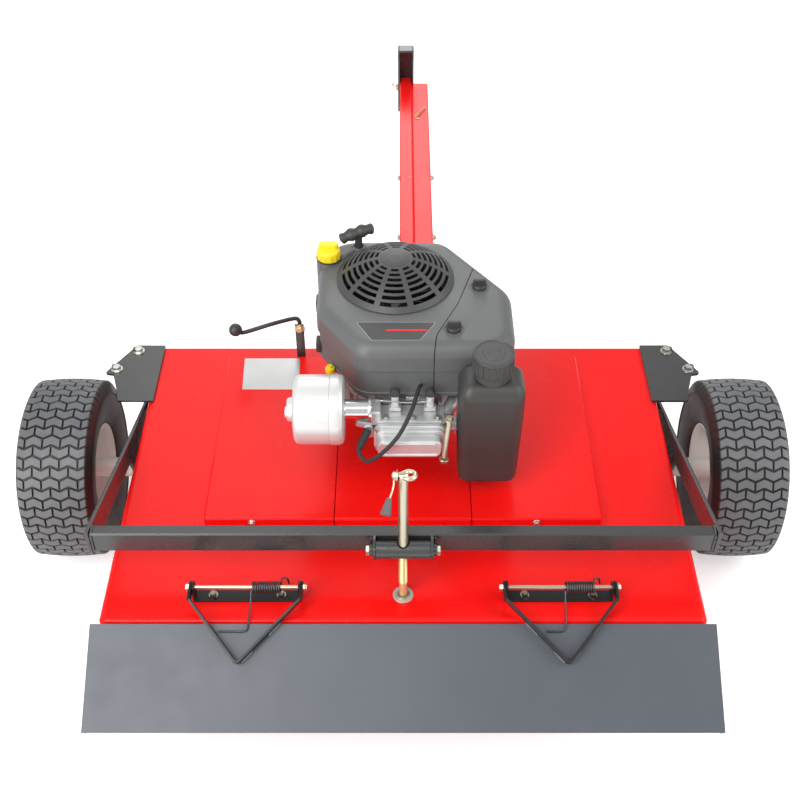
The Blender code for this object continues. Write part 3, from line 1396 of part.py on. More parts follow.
def build_grille(root):
    """The domed finger guard: rings and spokes left by rows of arc-shaped slots."""
    sector = 3
    columns = GRILLE_SPOKES * sector
    bands = 2 * GRILLE_SLOTS + 2
    spoke_share = 0.24
    radii = [GRILLE_CAP - 0.006, GRILLE_CAP]
    step = (GRILLE_RADIUS - 0.010 - GRILLE_CAP) / GRILLE_SLOTS
    for i in range(GRILLE_SLOTS):
        radii += [GRILLE_CAP + step * (i + 0.58), GRILLE_CAP + step * (i + 1)]
    radii[-1] = GRILLE_RADIUS - 0.008
    radii.append(GRILLE_RADIUS)
    bm = bmesh.new()
    bmesh.ops.create_grid(bm, x_segments=columns, y_segments=bands, size=0.5)
    shares = [0.0] + [spoke_share + (1.0 - spoke_share) * i / (sector - 1) for i in range(sector)][:-1]
    for v in bm.verts:
        column = round((v.co.x + 0.5) * columns)
        band = round((v.co.y + 0.5) * bands)
        turn, spot = divmod(column, sector)
        angle = TURN / GRILLE_SPOKES * (turn + shares[spot]) + GRILLE_TURN
        radius = radii[band]
        v.co = Vector((radius * math.cos(angle), radius * math.sin(angle), dome_height(radius)))
    bm.faces.ensure_lookup_table()
    gone = []
    for face in bm.faces:
        middle = face.calc_center_median()
        radius = middle.xy.length
        angle = (math.atan2(middle.y, middle.x) - GRILLE_TURN) % (TURN / GRILLE_SPOKES)
        in_slot = any(radii[2 * i + 1] < radius < radii[2 * i + 2] for i in range(GRILLE_SLOTS))
        if in_slot and angle > TURN / GRILLE_SPOKES * spoke_share:
            gone.append(face)
    bmesh.ops.delete(bm, geom=gone, context="FACES")
    bmesh.ops.remove_doubles(bm, verts=bm.verts, dist=0.0001)
    edges = [e for e in bm.edges if e.is_boundary]
    hub = [e for e in edges if max(v.co.xy.length for v in e.verts) < GRILLE_CAP - 0.003]
    bmesh.ops.contextual_create(bm, geom=hub)
    bmesh.ops.recalc_face_normals(bm, faces=bm.faces)
    if sum(f.normal.z for f in bm.faces) < 0:
        bmesh.ops.reverse_faces(bm, faces=bm.faces)
    grille = from_bmesh(bm)
    grille.location = (CRANK_X, CRANK_Y, HOUSING_TOP + GRILLE_SHELL - GRILLE_SETTLE)
    solidify(grille, GRILLE_SHELL)
    piece(grille, "fan_grille", SHROUD, root)


def build_crankshaft(body):
    """The crankshaft with its drive pulley, and the flywheel with its fan vanes."""
    groove = pulley_profile(ENGINE_PULLEY_RADIUS, 0.0)
    low = groove[7][1]
    profile = [
        (0.0, FAN_BASE_Z + 0.030), (0.010, FAN_BASE_Z + 0.030), (SHAFT_RADIUS, FAN_BASE_Z + 0.020),
        (SHAFT_RADIUS, groove[0][1]), *groove[1:7],
        (0.014, low), (0.014, low - 0.006), (0.0, low - 0.006),
    ]
    shaft = turned(profile, (CRANK_X, CRANK_Y, 0.0), "Z", ROUND)
    piece(shaft, "crankshaft", STEEL, body)
    bore = clear_of(SHAFT_RADIUS, SEAT, ROUND)
    fan = turned(
        [
            (bore, FAN_BASE_Z + 0.016), (0.036, FAN_BASE_Z + 0.010),
            (FAN_RADIUS, FAN_BASE_Z + 0.010), (FAN_RADIUS, FAN_BASE_Z), (bore, FAN_BASE_Z),
        ],
        (CRANK_X, CRANK_Y, 0.0), "Z", ROUND,
    )
    bm = bmesh.new()
    height = FAN_TOP_Z - FAN_BASE_Z
    for i in range(FAN_VANES):
        out = Matrix.Translation((0.074, 0.0, height / 2 + 0.003))
        spot = Matrix.Rotation(TURN * i / FAN_VANES, 4, "Z") @ out
        sweep = Matrix.Rotation(math.radians(28.0), 4, "Z")
        size = Matrix.Diagonal((0.046, 0.0045, height - 0.006, 1.0))
        bmesh.ops.create_cube(bm, size=1.0, matrix=spot @ sweep @ size)
    vanes = from_bmesh(bm)
    vanes.location = (CRANK_X, CRANK_Y, FAN_BASE_Z)
    add(fan, vanes, body, "fan_vanes")
    piece(fan, "flywheel_fan", CAST, body)


def build_engine_block(root):
    """The crankcase with its finned barrel, the cylinder head, the valve cover and the lead."""
    base = COVER_HEIGHT + SEAT
    bore = clear_of(SHAFT_RADIUS, RUNNING, ROUND)
    foot = CASE_RADIUS + CASE_FLANGE
    case = turned(
        [
            (bore, CASE_TOP), (0.060, CASE_TOP), (CASE_RADIUS, CASE_TOP - 0.045),
            (CASE_RADIUS, base + 0.030), (foot, base + 0.010), (foot, base), (bore, base),
        ],
        (CRANK_X, CRANK_Y, 0.0), "Z", ROUND,
    )
    barrel_front = CRANK_Y - 0.060
    length = barrel_front - HEAD_FRONT - SEAT
    barrel_top = HOUSING_BOTTOM - 0.004
    height = barrel_top - HEAD_Z + 0.056
    middle = barrel_top - height / 2
    centre = (HEAD_X - 0.010, HEAD_FRONT + SEAT + length / 2, middle - 0.002)
    barrel = box((0.092, length, height - 0.008), centre)
    add(case, barrel, root, "cylinder_barrel")
    rows = [HEAD_FRONT + 0.012 + i * 0.015 for i in range(4)]
    fins = boxes([((0.128, 0.003, height), (HEAD_X - 0.008, y, middle)) for y in rows])
    add(case, fins, root, "cylinder_fins")
    clear = rods([(CRANK_X, CRANK_Y, (base + CASE_TOP) / 2)], bore, 0.30, "Z", ROUND)
    cut(case, clear, root, "shaft_bore")
    piece(case, "crankcase", CAST, root)

    depth = HEAD_FRONT - HEAD_REAR
    head = box((HEAD_WIDTH - 0.020, depth, 0.104), (HEAD_X, (HEAD_FRONT + HEAD_REAR) / 2, HEAD_Z))
    bevel(head, 0.006, 1)
    rows = [HEAD_REAR + 0.013 + i * 0.015 for i in range(3)]
    slabs = boxes([((HEAD_WIDTH, 0.0035, 0.118), (HEAD_X, y, HEAD_Z + 0.002)) for y in rows])
    add(head, slabs, root, "head_fins")
    tank_left = TANK_X - TANK_WIDTH / 2 - SEAT
    reach = tank_left - HEAD_X - HEAD_WIDTH / 2 + 0.012
    middle_y = (HEAD_FRONT + HEAD_REAR) / 2
    arm = box((reach, 0.030, 0.080), (tank_left - reach / 2, middle_y, HEAD_Z - 0.012))
    add(head, arm, root, "tank_bracket")
    piece(head, "cylinder_head", CAST, root)

    width = HEAD_WIDTH - 0.006
    top = HEAD_Z + 0.040
    low = HEAD_Z - 0.050
    outline = rounded([
        (HEAD_X - width / 2, low, 0.014), (HEAD_X + width / 2, low, 0.014),
        (HEAD_X + width / 2, top, 0.022), (HEAD_X - width / 2, top, 0.022),
    ])
    cover_depth = 0.044
    upright = Matrix(((1, 0, 0, 0), (0, 0, -1, 0), (0, 1, 0, 0), (0, 0, 0, 1)))
    middle = HEAD_REAR - SEAT - cover_depth / 2
    cover = plate([outline], cover_depth, Matrix.Translation((0.0, middle, 0.0)) @ upright)
    flatten(cover)
    bevel(cover, 0.007, 2, 60.0)
    piece(cover, "valve_cover", CAST, root)

    lead = wire(smooth_path(LEAD_ROUTE, 0.014), LEAD_RADIUS, 1)
    piece(lead, "plug_lead", TANK, root)


def flatten(obj):
    """Dissolves the flat triangles that a filled outline leaves, before a bevel."""
    bm = bmesh.new()
    bm.from_mesh(obj.data)
    bmesh.ops.dissolve_limit(bm, angle_limit=0.01, verts=bm.verts, edges=bm.edges)
    bm.to_mesh(obj.data)
    bm.free()


def build_exhaust(root):
    """The round muffler and the pipe that joins it to the cylinder head."""
    left = MUFFLER_X - MUFFLER_LENGTH / 2
    right = MUFFLER_X + MUFFLER_LENGTH / 2
    head_left = HEAD_X - HEAD_WIDTH / 2
    r = MUFFLER_RADIUS
    profile = solid_profile(
        (PIPE_RADIUS + 0.005, head_left - SEAT),
        (PIPE_RADIUS + 0.005, head_left - SEAT - 0.006),
        (PIPE_RADIUS, head_left - SEAT - 0.007),
        (PIPE_RADIUS, right),
        (r - 0.012, right),
        (r - 0.003, right - 0.006),
        (r, right - 0.016),
        (r, left + 0.016),
        (r - 0.004, left + 0.005),
        (r - 0.014, left),
        (0.026, left),
        (0.023, left - 0.016),
    )
    can = turned(profile, (0.0, MUFFLER_Y, MUFFLER_Z), "X", ROUND + 2)
    outlet = rods([(left - 0.012, MUFFLER_Y - 0.002, MUFFLER_Z - 0.006)], 0.009, 0.02, "X", 12)
    cut(can, outlet, root, "muffler_outlet")
    piece(can, "muffler", CAST, root)


def build_tank(root, cap_body, dipstick_body):
    """The fuel tank and its cap, and the oil filler's yellow cap and stick."""
    height = TANK_TOP - TANK_BOTTOM
    tank = box((TANK_WIDTH, TANK_DEPTH, height), (TANK_X, TANK_Y, TANK_BOTTOM + height / 2))
    bevel(tank, 0.020, 2)
    neck = turned(
        [
            (0.024, TANK_TOP + 0.022), (0.029, TANK_TOP + 0.022),
            (0.030, TANK_TOP - 0.010), (0.024, TANK_TOP - 0.010),
        ],
        (TANK_X, TANK_Y, 0.0), "Z", MIDDLE,
    )
    add(tank, neck, root, "tank_neck")
    mouth = rods([(TANK_X, TANK_Y, TANK_TOP)], 0.0242, 0.08, "Z", MIDDLE)
    cut(tank, mouth, root, "tank_mouth")
    piece(tank, "fuel_tank", TANK, root)

    skirt = TANK_TOP + 0.002
    top = skirt + CAP_HEIGHT - 0.008
    cap = turned(
        [
            (0.0, top), (CAP_RADIUS - 0.006, top), (CAP_RADIUS - 0.001, top - 0.004),
            (CAP_RADIUS, top - 0.010), (CAP_RADIUS, skirt), (0.0315, skirt),
            (0.0315, TANK_TOP + 0.022 + SEAT), (0.0, TANK_TOP + 0.022 + SEAT),
        ],
        (TANK_X, TANK_Y, 0.0), "Z", MIDDLE,
    )
    piece(cap, "fuel_cap", TANK, cap_body)

    rest = HOUSING_TOP + 0.004 + SEAT
    stick = turned(
        solid_profile(
            (DIPSTICK_RADIUS - 0.004, rest + 0.026), (DIPSTICK_RADIUS, rest + 0.021),
            (DIPSTICK_RADIUS, rest + 0.002), (DIPSTICK_RADIUS - 0.001, rest),
            (0.004, rest), (0.003, 0.260),
        ),
        (DIPSTICK_X, DIPSTICK_Y, 0.0), "Z", SMALL,
    )
    span = 2 * DIPSTICK_RADIUS - 0.008
    grip = bevel(box((span, 0.016, 0.016), (DIPSTICK_X, DIPSTICK_Y, rest + 0.028)), 0.003, 1)
    add(stick, grip, dipstick_body, "dipstick_grip")
    piece(stick, "dipstick_cap", YELLOW, dipstick_body)


def build_starter(body):
    """The starter's pull handle on its rope."""
    top = HOUSING_TOP + 0.030
    turn = Euler((0.0, 0.0, STARTER_TURN))
    grip = bevel(box((0.076, 0.022, 0.022), (STARTER_X, STARTER_Y, top + 0.010), turn), 0.008, 2)
    stem = rods([(STARTER_X, STARTER_Y, HOUSING_TOP + SEAT + 0.018)], 0.009, 0.036)
    add(grip, stem, body, "handle_stem")
    rope = rods([(STARTER_X, STARTER_Y, HOUSING_TOP - 0.006)], 0.0025, 0.030, "Z", 6)
    add(grip, rope, body, "starter_rope")
    piece(grip, "starter_handle", TANK, body)


def main():
    root = anchor("mower_frame", (0.0, 0.0, 0.0))
    root.location = (0.0, SHIFT_Y, -GROUND_Z)
    frame = anchor("axle_frame_axis", (0.0, PIVOT_Y, PIVOT_Z), parent=root)
    trunnion = anchor("trunnion_axis", (0.0, TRUNNION_Y, TRUNNION_Z), parent=frame)
    lean = anchor("screw_lean_axis", (0.0, SCREW_FOOT_Y, 0.0), parent=root)
    crank = anchor("screw_axis", (0.0, SCREW_FOOT_Y, 0.0), Euler((-SCREW_LEAN, 0.0, 0.0)), lean)
    flap = anchor("flap_axis", (0.0, HINGE_Y, HINGE_Z), parent=root)
    tongue = anchor("tongue_axis", (TUBE_X, TONGUE_PIVOT_Y, TONGUE_Z), parent=root)
    lever = anchor("lever_axis", (LEVER_X, LEVER_Y, 0.0), parent=root)
    engine = anchor("crankshaft_axis", (CRANK_X, CRANK_Y, 0.0), parent=root)
    centre, pivot = idler_place()
    arm = anchor("idler_arm_axis", (pivot.x, pivot.y, 0.0), parent=root)
    idler = anchor("idler_axis", (centre.x, centre.y, 0.0), parent=arm)
    knobs = [
        anchor(f"knob_{word}_axis", (x, y, HOUSING_TOP), parent=root)
        for (x, y), word in zip(KNOBS, ("front", "rear"))
    ]
    cap = anchor("fuel_cap_axis", (TANK_X, TANK_Y, TANK_TOP), parent=root)
    dipstick = anchor("dipstick_axis", (DIPSTICK_X, DIPSTICK_Y, HOUSING_TOP), parent=root)
    starter = anchor("starter_axis", (STARTER_X, STARTER_Y, HOUSING_TOP), parent=root)

    build_deck(root)
    build_covers(root)
    build_corner_plates(root)
    build_axle_frame(root, frame)
    build_pivot_bolts(root)
    build_lift(root, trunnion, lean, crank)
    build_flap(flap)
    build_belt(root)
    build_idler(root, arm, idler)
    for side, word, y in ((-1, "left", SPINDLE_Y_LEFT), (1, "right", SPINDLE_Y_RIGHT)):
        wheel = anchor(f"wheel_{word}_axis", (side * WHEEL_X, AXLE_Y, AXLE_Z), parent=frame)
        build_wheel(side, word, wheel)
        build_hinge(side, word, root, flap)
        spindle = anchor(f"spindle_{word}_axis", (side * SPINDLE_X, y, 0.0), parent=root)
        BODIES[spindle.name] = spindle
        build_spindle(side, word, root, spindle)
    build_lever(root, lever)
    build_tongue(root, tongue)
    build_engine_shell(root, knobs)
    build_grille(root)
    build_crankshaft(engine)
    build_engine_block(root)
    build_exhaust(root)
    build_tank(root, cap, dipstick)
    build_starter(starter)
    bpy.context.view_layer.update()


BODIES = {}
main()
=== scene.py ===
"""Looks of the tow-behind finishing mower: paint, metal, rubber, small parts, light and camera.

Lengths are in metres. Places are given in the deck's frame (X right, Y forward from the
middle of the deck's rear edge, Z up from its top) and moved to the row frame by DECK.
"""
import json
import math

import bmesh
import bpy
import numpy as np
from mathutils import Matrix, Vector

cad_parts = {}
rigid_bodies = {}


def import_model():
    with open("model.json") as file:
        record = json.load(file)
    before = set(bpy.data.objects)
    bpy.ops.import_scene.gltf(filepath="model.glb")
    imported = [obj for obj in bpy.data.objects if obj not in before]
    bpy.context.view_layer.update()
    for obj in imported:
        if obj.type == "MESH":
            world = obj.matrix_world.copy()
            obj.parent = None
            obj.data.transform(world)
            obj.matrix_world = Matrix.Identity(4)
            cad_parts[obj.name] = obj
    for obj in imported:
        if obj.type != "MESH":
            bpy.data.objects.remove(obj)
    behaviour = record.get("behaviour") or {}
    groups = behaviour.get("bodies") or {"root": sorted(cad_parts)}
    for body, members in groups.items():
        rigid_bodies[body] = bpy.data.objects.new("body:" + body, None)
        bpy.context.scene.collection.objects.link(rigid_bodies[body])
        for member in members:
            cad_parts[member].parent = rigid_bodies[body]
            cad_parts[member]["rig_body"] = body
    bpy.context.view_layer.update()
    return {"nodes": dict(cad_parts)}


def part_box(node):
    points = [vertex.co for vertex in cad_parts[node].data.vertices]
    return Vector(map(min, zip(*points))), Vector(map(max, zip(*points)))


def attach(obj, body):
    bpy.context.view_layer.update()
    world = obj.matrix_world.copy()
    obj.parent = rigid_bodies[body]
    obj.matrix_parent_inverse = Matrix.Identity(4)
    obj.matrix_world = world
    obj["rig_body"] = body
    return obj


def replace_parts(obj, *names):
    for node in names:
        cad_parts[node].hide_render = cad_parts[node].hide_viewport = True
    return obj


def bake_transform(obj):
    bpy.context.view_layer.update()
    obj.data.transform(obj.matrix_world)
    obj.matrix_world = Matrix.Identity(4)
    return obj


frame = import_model()
DECK = Matrix.Translation((0.0, -0.992688, 0.32))
TURN = 2 * math.pi
UP = (0, 0, 1)
GAP = 0.0003


# Materials

def tree(mat):
    nodes = mat.node_tree.nodes
    links = mat.node_tree.links
    return nodes, links


def noise(mat, scale, detail=2.0, stretch=(1.0, 1.0, 1.0)):
    """A noise value over the piece's own coordinates."""
    nodes, links = tree(mat)
    coords = nodes.new("ShaderNodeTexCoord")
    mapping = nodes.new("ShaderNodeMapping")
    mapping.inputs["Scale"].default_value = stretch
    texture = nodes.new("ShaderNodeTexNoise")
    texture.inputs["Scale"].default_value = scale
    texture.inputs["Detail"].default_value = detail
    links.new(coords.outputs["Object"], mapping.inputs["Vector"])
    links.new(mapping.outputs["Vector"], texture.inputs["Vector"])
    return texture.outputs["Fac"]


def spread(mat, value, low, high, start=0.3, end=0.7):
    """The value mapped from start..end to low..high."""
    nodes, links = tree(mat)
    node = nodes.new("ShaderNodeMapRange")
    node.inputs["From Min"].default_value = start
    node.inputs["From Max"].default_value = end
    node.inputs["To Min"].default_value = low
    node.inputs["To Max"].default_value = high
    links.new(value, node.inputs["Value"])
    return node.outputs["Result"]


def blend_colours(mat, value, first, second):
    nodes, links = tree(mat)
    node = nodes.new("ShaderNodeMix")
    node.data_type = "RGBA"
    links.new(value, node.inputs["Factor"])
    for socket, colour in (("A", first), ("B", second)):
        target = [s for s in node.inputs if s.name == socket and s.type == "RGBA"][0]
        if hasattr(colour, "default_value"):
            links.new(colour, target)
        else:
            target.default_value = (*colour, 1.0)
    return [s for s in node.outputs if s.type == "RGBA"][0]


def finish_of(name, colour, roughness, metallic=0.0, vary=0.08, patch=6.0, grain=None, coat=0.0,
              rough_vary=0.05, stretch=(1.0, 1.0, 1.0), dust=None, specular=0.5):
    """A finish whose colour and roughness drift over the surface, with a fine grain in relief."""
    mat = bpy.data.materials.new(name)
    mat.use_nodes = True
    nodes, links = tree(mat)
    shader = nodes["Principled BSDF"]
    shader.inputs["Metallic"].default_value = metallic
    shader.inputs["Specular IOR Level"].default_value = specular
    if coat:
        shader.inputs["Coat Weight"].default_value = coat
        shader.inputs["Coat Roughness"].default_value = 0.12
    drift = spread(mat, noise(mat, patch, 4.0, stretch), 0.0, 1.0)
    darker = [c * (1.0 - vary) for c in colour]
    lighter = [min(1.0, c * (1.0 + vary)) for c in colour]
    base = blend_colours(mat, drift, darker, lighter)
    if dust:
        speck = spread(mat, noise(mat, patch * 9.0, 6.0), 0.0, dust[1], 0.45, 0.75)
        base = blend_colours(mat, speck, base, dust[0])
    links.new(base, shader.inputs["Base Color"])
    rough = spread(mat, noise(mat, patch * 4.0, 5.0, stretch), roughness - rough_vary, roughness + rough_vary)
    links.new(rough, shader.inputs["Roughness"])
    if grain:
        scale, depth = grain
        bump = nodes.new("ShaderNodeBump")
        bump.inputs["Strength"].default_value = 1.0
        bump.inputs["Distance"].default_value = depth
        links.new(noise(mat, scale, 2.0, stretch), bump.inputs["Height"])
        links.new(bump.outputs["Normal"], shader.inputs["Normal"])
    return mat


def make_materials():
    dust = ((0.24, 0.24, 0.235), 0.16)
    plated = {"vary": 0.04, "patch": 12.0, "rough_vary": 0.02}
    return {
        "red_paint": finish_of(
            "red_paint", (0.8, 0.006, 0.005), 0.26, vary=0.03, rough_vary=0.02, specular=0.25),
        "black_paint": finish_of("black_paint", (0.029, 0.03, 0.031), 0.28, rough_vary=0.03, specular=0.85),
        "strap_black": finish_of("strap_black", (0.01, 0.011, 0.012), 0.36, rough_vary=0.03, specular=0.45),
        "flap_grey_paint": finish_of(
            "flap_grey_paint", (0.066, 0.074, 0.09), 0.4, vary=0.04, rough_vary=0.03, specular=0.55),
        "zinc_plate": finish_of("zinc_plate", (0.7, 0.55, 0.27), 0.32, 0.65, **plated),
        "pale_zinc": finish_of("pale_zinc", (0.62, 0.58, 0.44), 0.3, 1.0, **plated),
        "pale_plate": finish_of("pale_plate", (0.5, 0.49, 0.44), 0.4, 0.5, **plated),
        "bright_zinc": finish_of("bright_zinc", (0.62, 0.61, 0.56), 0.3, 1.0, **plated),
        "chromed_steel": finish_of("chromed_steel", (0.8, 0.8, 0.8), 0.12, 1.0, vary=0.03, patch=30.0),
        "plate_silver": finish_of("plate_silver", (0.5, 0.5, 0.49), 0.36, 0.7, vary=0.04, patch=12.0),
        "plate_dark": finish_of("plate_dark", (0.03, 0.03, 0.031), 0.4, patch=40.0),
        "spring_steel": finish_of("spring_steel", (0.085, 0.085, 0.09), 0.34, 0.8, vary=0.1, patch=60.0),
        "weld_steel": finish_of("weld_steel", (0.15, 0.155, 0.165), 0.36, 0.4, vary=0.15, patch=90.0),
        "blade_steel": finish_of("blade_steel", (0.3, 0.29, 0.28), 0.42, 0.9, vary=0.15, patch=14.0),
        "cast_aluminium": finish_of(
            "cast_aluminium", (0.7, 0.71, 0.71), 0.42, 0.75, vary=0.07, patch=20.0, grain=(1400.0, 0.0003)),
        "engine_grey": finish_of(
            "engine_grey", (0.22, 0.22, 0.22), 0.45, 0.6, grain=(1400.0, 0.0003), patch=20.0),
        # Near black for the fan: partly dark plastic, partly painted shade inside the housing. Also used for
        # the painted shade sheet under the grille.
        "fan_black_and_painted_shade": finish_of("fan_black_and_painted_shade", (0.012, 0.012, 0.012), 0.6, vary=0.05, patch=20.0),
        "muffler_steel": finish_of(
            "muffler_steel", (0.7, 0.7, 0.69), 0.42, 0.55, vary=0.04, patch=12.0, stretch=(1.0, 1.0, 6.0)),
        "shroud_plastic": finish_of("shroud_plastic", (0.104, 0.108, 0.108), 0.44, grain=(1600.0, 0.00008)),
        "grille_plastic": finish_of("grille_plastic", (0.05, 0.051, 0.051), 0.44, grain=(1600.0, 0.0001)),
        "tank_plastic": finish_of("tank_plastic", (0.038, 0.037, 0.035), 0.44, grain=(1200.0, 0.00012)),
        "yellow_plastic": finish_of("yellow_plastic", (0.84, 0.64, 0.015), 0.35, vary=0.04),
        "cream_rim_paint": finish_of("cream_rim_paint", (0.9, 0.87, 0.82), 0.36, vary=0.03),
        "tyre_rubber": finish_of(
            "tyre_rubber", (0.105, 0.108, 0.114), 0.48, vary=0.05, dust=dust, grain=(500.0, 0.0002)),
        "belt_rubber": finish_of("belt_rubber", (0.022, 0.022, 0.023), 0.7, grain=(800.0, 0.0002)),
    }


LOOKS = make_materials()


# Mesh helpers

def object_of(bm, name):
    """A new object in the scene that holds the mesh; the bmesh is freed."""
    mesh = bpy.data.meshes.new(name)
    bm.to_mesh(mesh)
    bm.free()
    obj = bpy.data.objects.new(name, mesh)
    bpy.context.scene.collection.objects.link(obj)
    return obj


def taken(obj):
    """The mesh of an object, which is removed."""
    bm = bmesh.new()
    bm.from_mesh(obj.data)
    bpy.data.objects.remove(obj, do_unlink=True)
    return bm


def finished(bm, name, look, body, slot=None, smooth=40.0, place=DECK):
    """The mesh as a piece in the row frame, which rides on the body."""
    bmesh.ops.recalc_face_normals(bm, faces=bm.faces)
    obj = object_of(bm, name)
    mesh = obj.data
    mesh.transform(place)
    mesh.materials.append(LOOKS[look])
    mesh.polygons.foreach_set("use_smooth", [True] * len(mesh.polygons))
    mesh.set_sharp_from_angle(angle=math.radians(smooth))
    step = obj.modifiers.new("normals", "WEIGHTED_NORMAL")
    step.keep_sharp = True
    applied(obj)
    if body:
        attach(obj, body)
    return obj


def span(node):
    """A node's lowest and highest corners in the deck's frame."""
    low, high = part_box(node)
    return Vector(low) - DECK.translation, Vector(high) - DECK.translation


def middle_of(node):
    low, high = span(node)
    return (low + high) / 2


WELD_REACH = 0.00002
FLAT_ANGLE = math.radians(0.5)
NARROW = 1.2
SHORTEST = 2.4
CROSSING_SHARE = 1.05
ROUNDING_TRIES = (1.0, 0.7, 0.5, 0.3, 0.15)


def soften(bm, width, segments=2, angle=32.0):
    """Rounds the outward edges sharper than the angle, apart from the shortest and those of narrow faces."""
    limit = math.radians(angle)
    narrow = {f for f in bm.faces if f.calc_area() < NARROW * width * f.calc_perimeter()}
    edges = [
        e for e in bm.edges
        if e.is_convex and e.calc_face_angle() > limit and e.calc_length() > SHORTEST * width
        and not narrow.intersection(e.link_faces)
    ]
    if edges:
        bmesh.ops.bevel(
            bm, geom=edges, offset=width, segments=segments, profile=0.5, affect="EDGES", clamp_overlap=False
        )


def crossed(bm):
    """Whether any face crosses itself: its triangles then cover more than the face."""
    covered = {}
    for loops in bm.calc_loop_triangles():
        a, b, c = (loop.vert.co for loop in loops)
        covered[loops[0].face] = covered.get(loops[0].face, 0.0) + (b - a).cross(c - a).length / 2
    return any(area > CROSSING_SHARE * face.calc_area() + 1e-6 for face, area in covered.items())


def dressed(node, look, width):
    """A copy of a CAD node with welded faces, rounded edges and smooth shading, in the node's place."""
    source = frame["nodes"][node]
    plain = bmesh.new()
    plain.from_mesh(source.data)
    bmesh.ops.remove_doubles(plain, verts=plain.verts, dist=WELD_REACH)
    bmesh.ops.dissolve_limit(plain, angle_limit=FLAT_ANGLE, verts=plain.verts, edges=plain.edges)
    for share in ROUNDING_TRIES:
        bm = plain.copy()
        soften(bm, share * width)
        if not crossed(bm):
            break
    plain.free()
    form = finished(bm, f"{node}_form", look, source["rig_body"], place=Matrix.Identity(4))
    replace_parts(form, node)


def merge(bm, other):
    """Adds the other mesh's faces and frees it."""
    mesh = bpy.data.meshes.new("merged")
    other.to_mesh(mesh)
    other.free()
    bm.from_mesh(mesh)
    bpy.data.meshes.remove(mesh)


def frame_along(direction):
    """A rotation that takes Z to the direction."""
    return Vector((0.0, 0.0, 1.0)).rotation_difference(Vector(direction)).to_matrix().to_4x4()


def joined(bm, low, high):
    """Faces between two rings of as many points, one of which may be a single point."""
    count = max(len(low), len(high))
    for i in range(count):
        j = (i + 1) % count
        if len(low) == 1:
            bm.faces.new((low[0], high[j], high[i]))
        elif len(high) == 1:
            bm.faces.new((low[i], low[j], high[0]))
        else:
            bm.faces.new((low[i], low[j], high[j], high[i]))


def capped(bm, rings):
    """Closes both ends of a stack of rings."""
    bm.faces.new(list(reversed(rings[0])))
    bm.faces.new(rings[-1])


def stacked(bm, outline, layers, place=None):
    """Rings of the outline, each moved in by its depth at its height, with faces between them."""
    place = place or Matrix.Identity(4)
    rings = [
        [bm.verts.new(place @ Vector((x, y, z))) for x, y in inset(outline, depth)] for depth, z in layers
    ]
    for below, above in zip(rings, rings[1:]):
        joined(bm, below, above)
    return rings


def lathe(bm, centre, direction, profile, sides=24, closed=False):
    """A body of revolution about the direction, from (radius, height) points.

    A solid starts and ends on the axis. A ring is closed from its last point to its first.
    """
    place = Matrix.Translation(centre) @ frame_along(direction)
    rings = []
    for radius, height in profile:
        if radius <= 1e-7:
            rings.append([bm.verts.new(place @ Vector((0.0, 0.0, height)))])
            continue
        rings.append([
            bm.verts.new(place @ Vector((radius * math.cos(a), radius * math.sin(a), height)))
            for a in (TURN * i / sides for i in range(sides))
        ])
    pairs = list(zip(rings, rings[1:]))
    if closed:
        pairs.append((rings[-1], rings[0]))
    for low, high in pairs:
        joined(bm, low, high)


def turned(name, look, body, centre, direction, profile, sides=24, closed=False, **more):
    """A piece that is one body of revolution."""
    bm = bmesh.new()
    lathe(bm, centre, direction, profile, sides, closed)
    return finished(bm, name, look, body, **more)


def rod(bm, start, end, radius, sides=16, edge=0.0006):
    """A straight round bar with chamfered ends."""
    start, end = Vector(start), Vector(end)
    length = (end - start).length
    profile = [
        (0, 0), (radius - edge, 0), (radius, edge), (radius, length - edge),
        (radius - edge, length), (0, length),
    ]
    lathe(bm, start, end - start, profile, sides)


def hex_head(bm, centre, direction, radius, height, washer=True):
    """A hexagon head with its chamfered top, on a washer."""
    way = Vector(direction).normalized()
    if washer:
        lift = height * 0.22
        lathe(bm, centre, way, [
            (0, 0), (radius * 1.35, 0), (radius * 1.4, lift * 0.5), (radius * 1.35, lift),
            (0, lift),
        ], 24)
        centre = Vector(centre) + way * (lift + 0.00002)
    lathe(bm, centre, way, [
        (0, 0), (radius, 0), (radius, height * 0.82), (radius * 0.86, height), (0, height),
    ], 6)


def prism(bm, outline, low, high, place=None, edge=0.0):
    """An upright solid on a closed outline, with its top and bottom edges chamfered."""
    layers = [(0.0, low), (0.0, high)]
    if edge:
        layers = [
            (edge, low), (0.0, low + edge), (0.0, high - edge), (edge * 0.3, high - edge * 0.3),
            (edge, high),
        ]
    capped(bm, stacked(bm, outline, layers, place))


def inset(outline, depth):
    """The outline moved inwards by the depth; its points run anticlockwise."""
    if not depth:
        return list(outline)
    points = [Vector(p) for p in outline]
    moved = []
    for i, here in enumerate(points):
        before = (here - points[i - 1]).normalized()
        after = (points[(i + 1) % len(points)] - here).normalized()
        normal = Vector((-(before.y + after.y), before.x + after.x))
        normal.normalize()
        share = max(0.3, normal.dot(Vector((-after.y, after.x))))
        moved.append(tuple(here + normal * depth / share))
    return moved


def arc(centre, radius, start, end, count):
    """Points along an arc, with angles in degrees."""
    angles = np.radians(np.linspace(start, end, count))
    return [(centre[0] + radius * math.cos(a), centre[1] + radius * math.sin(a)) for a in angles]


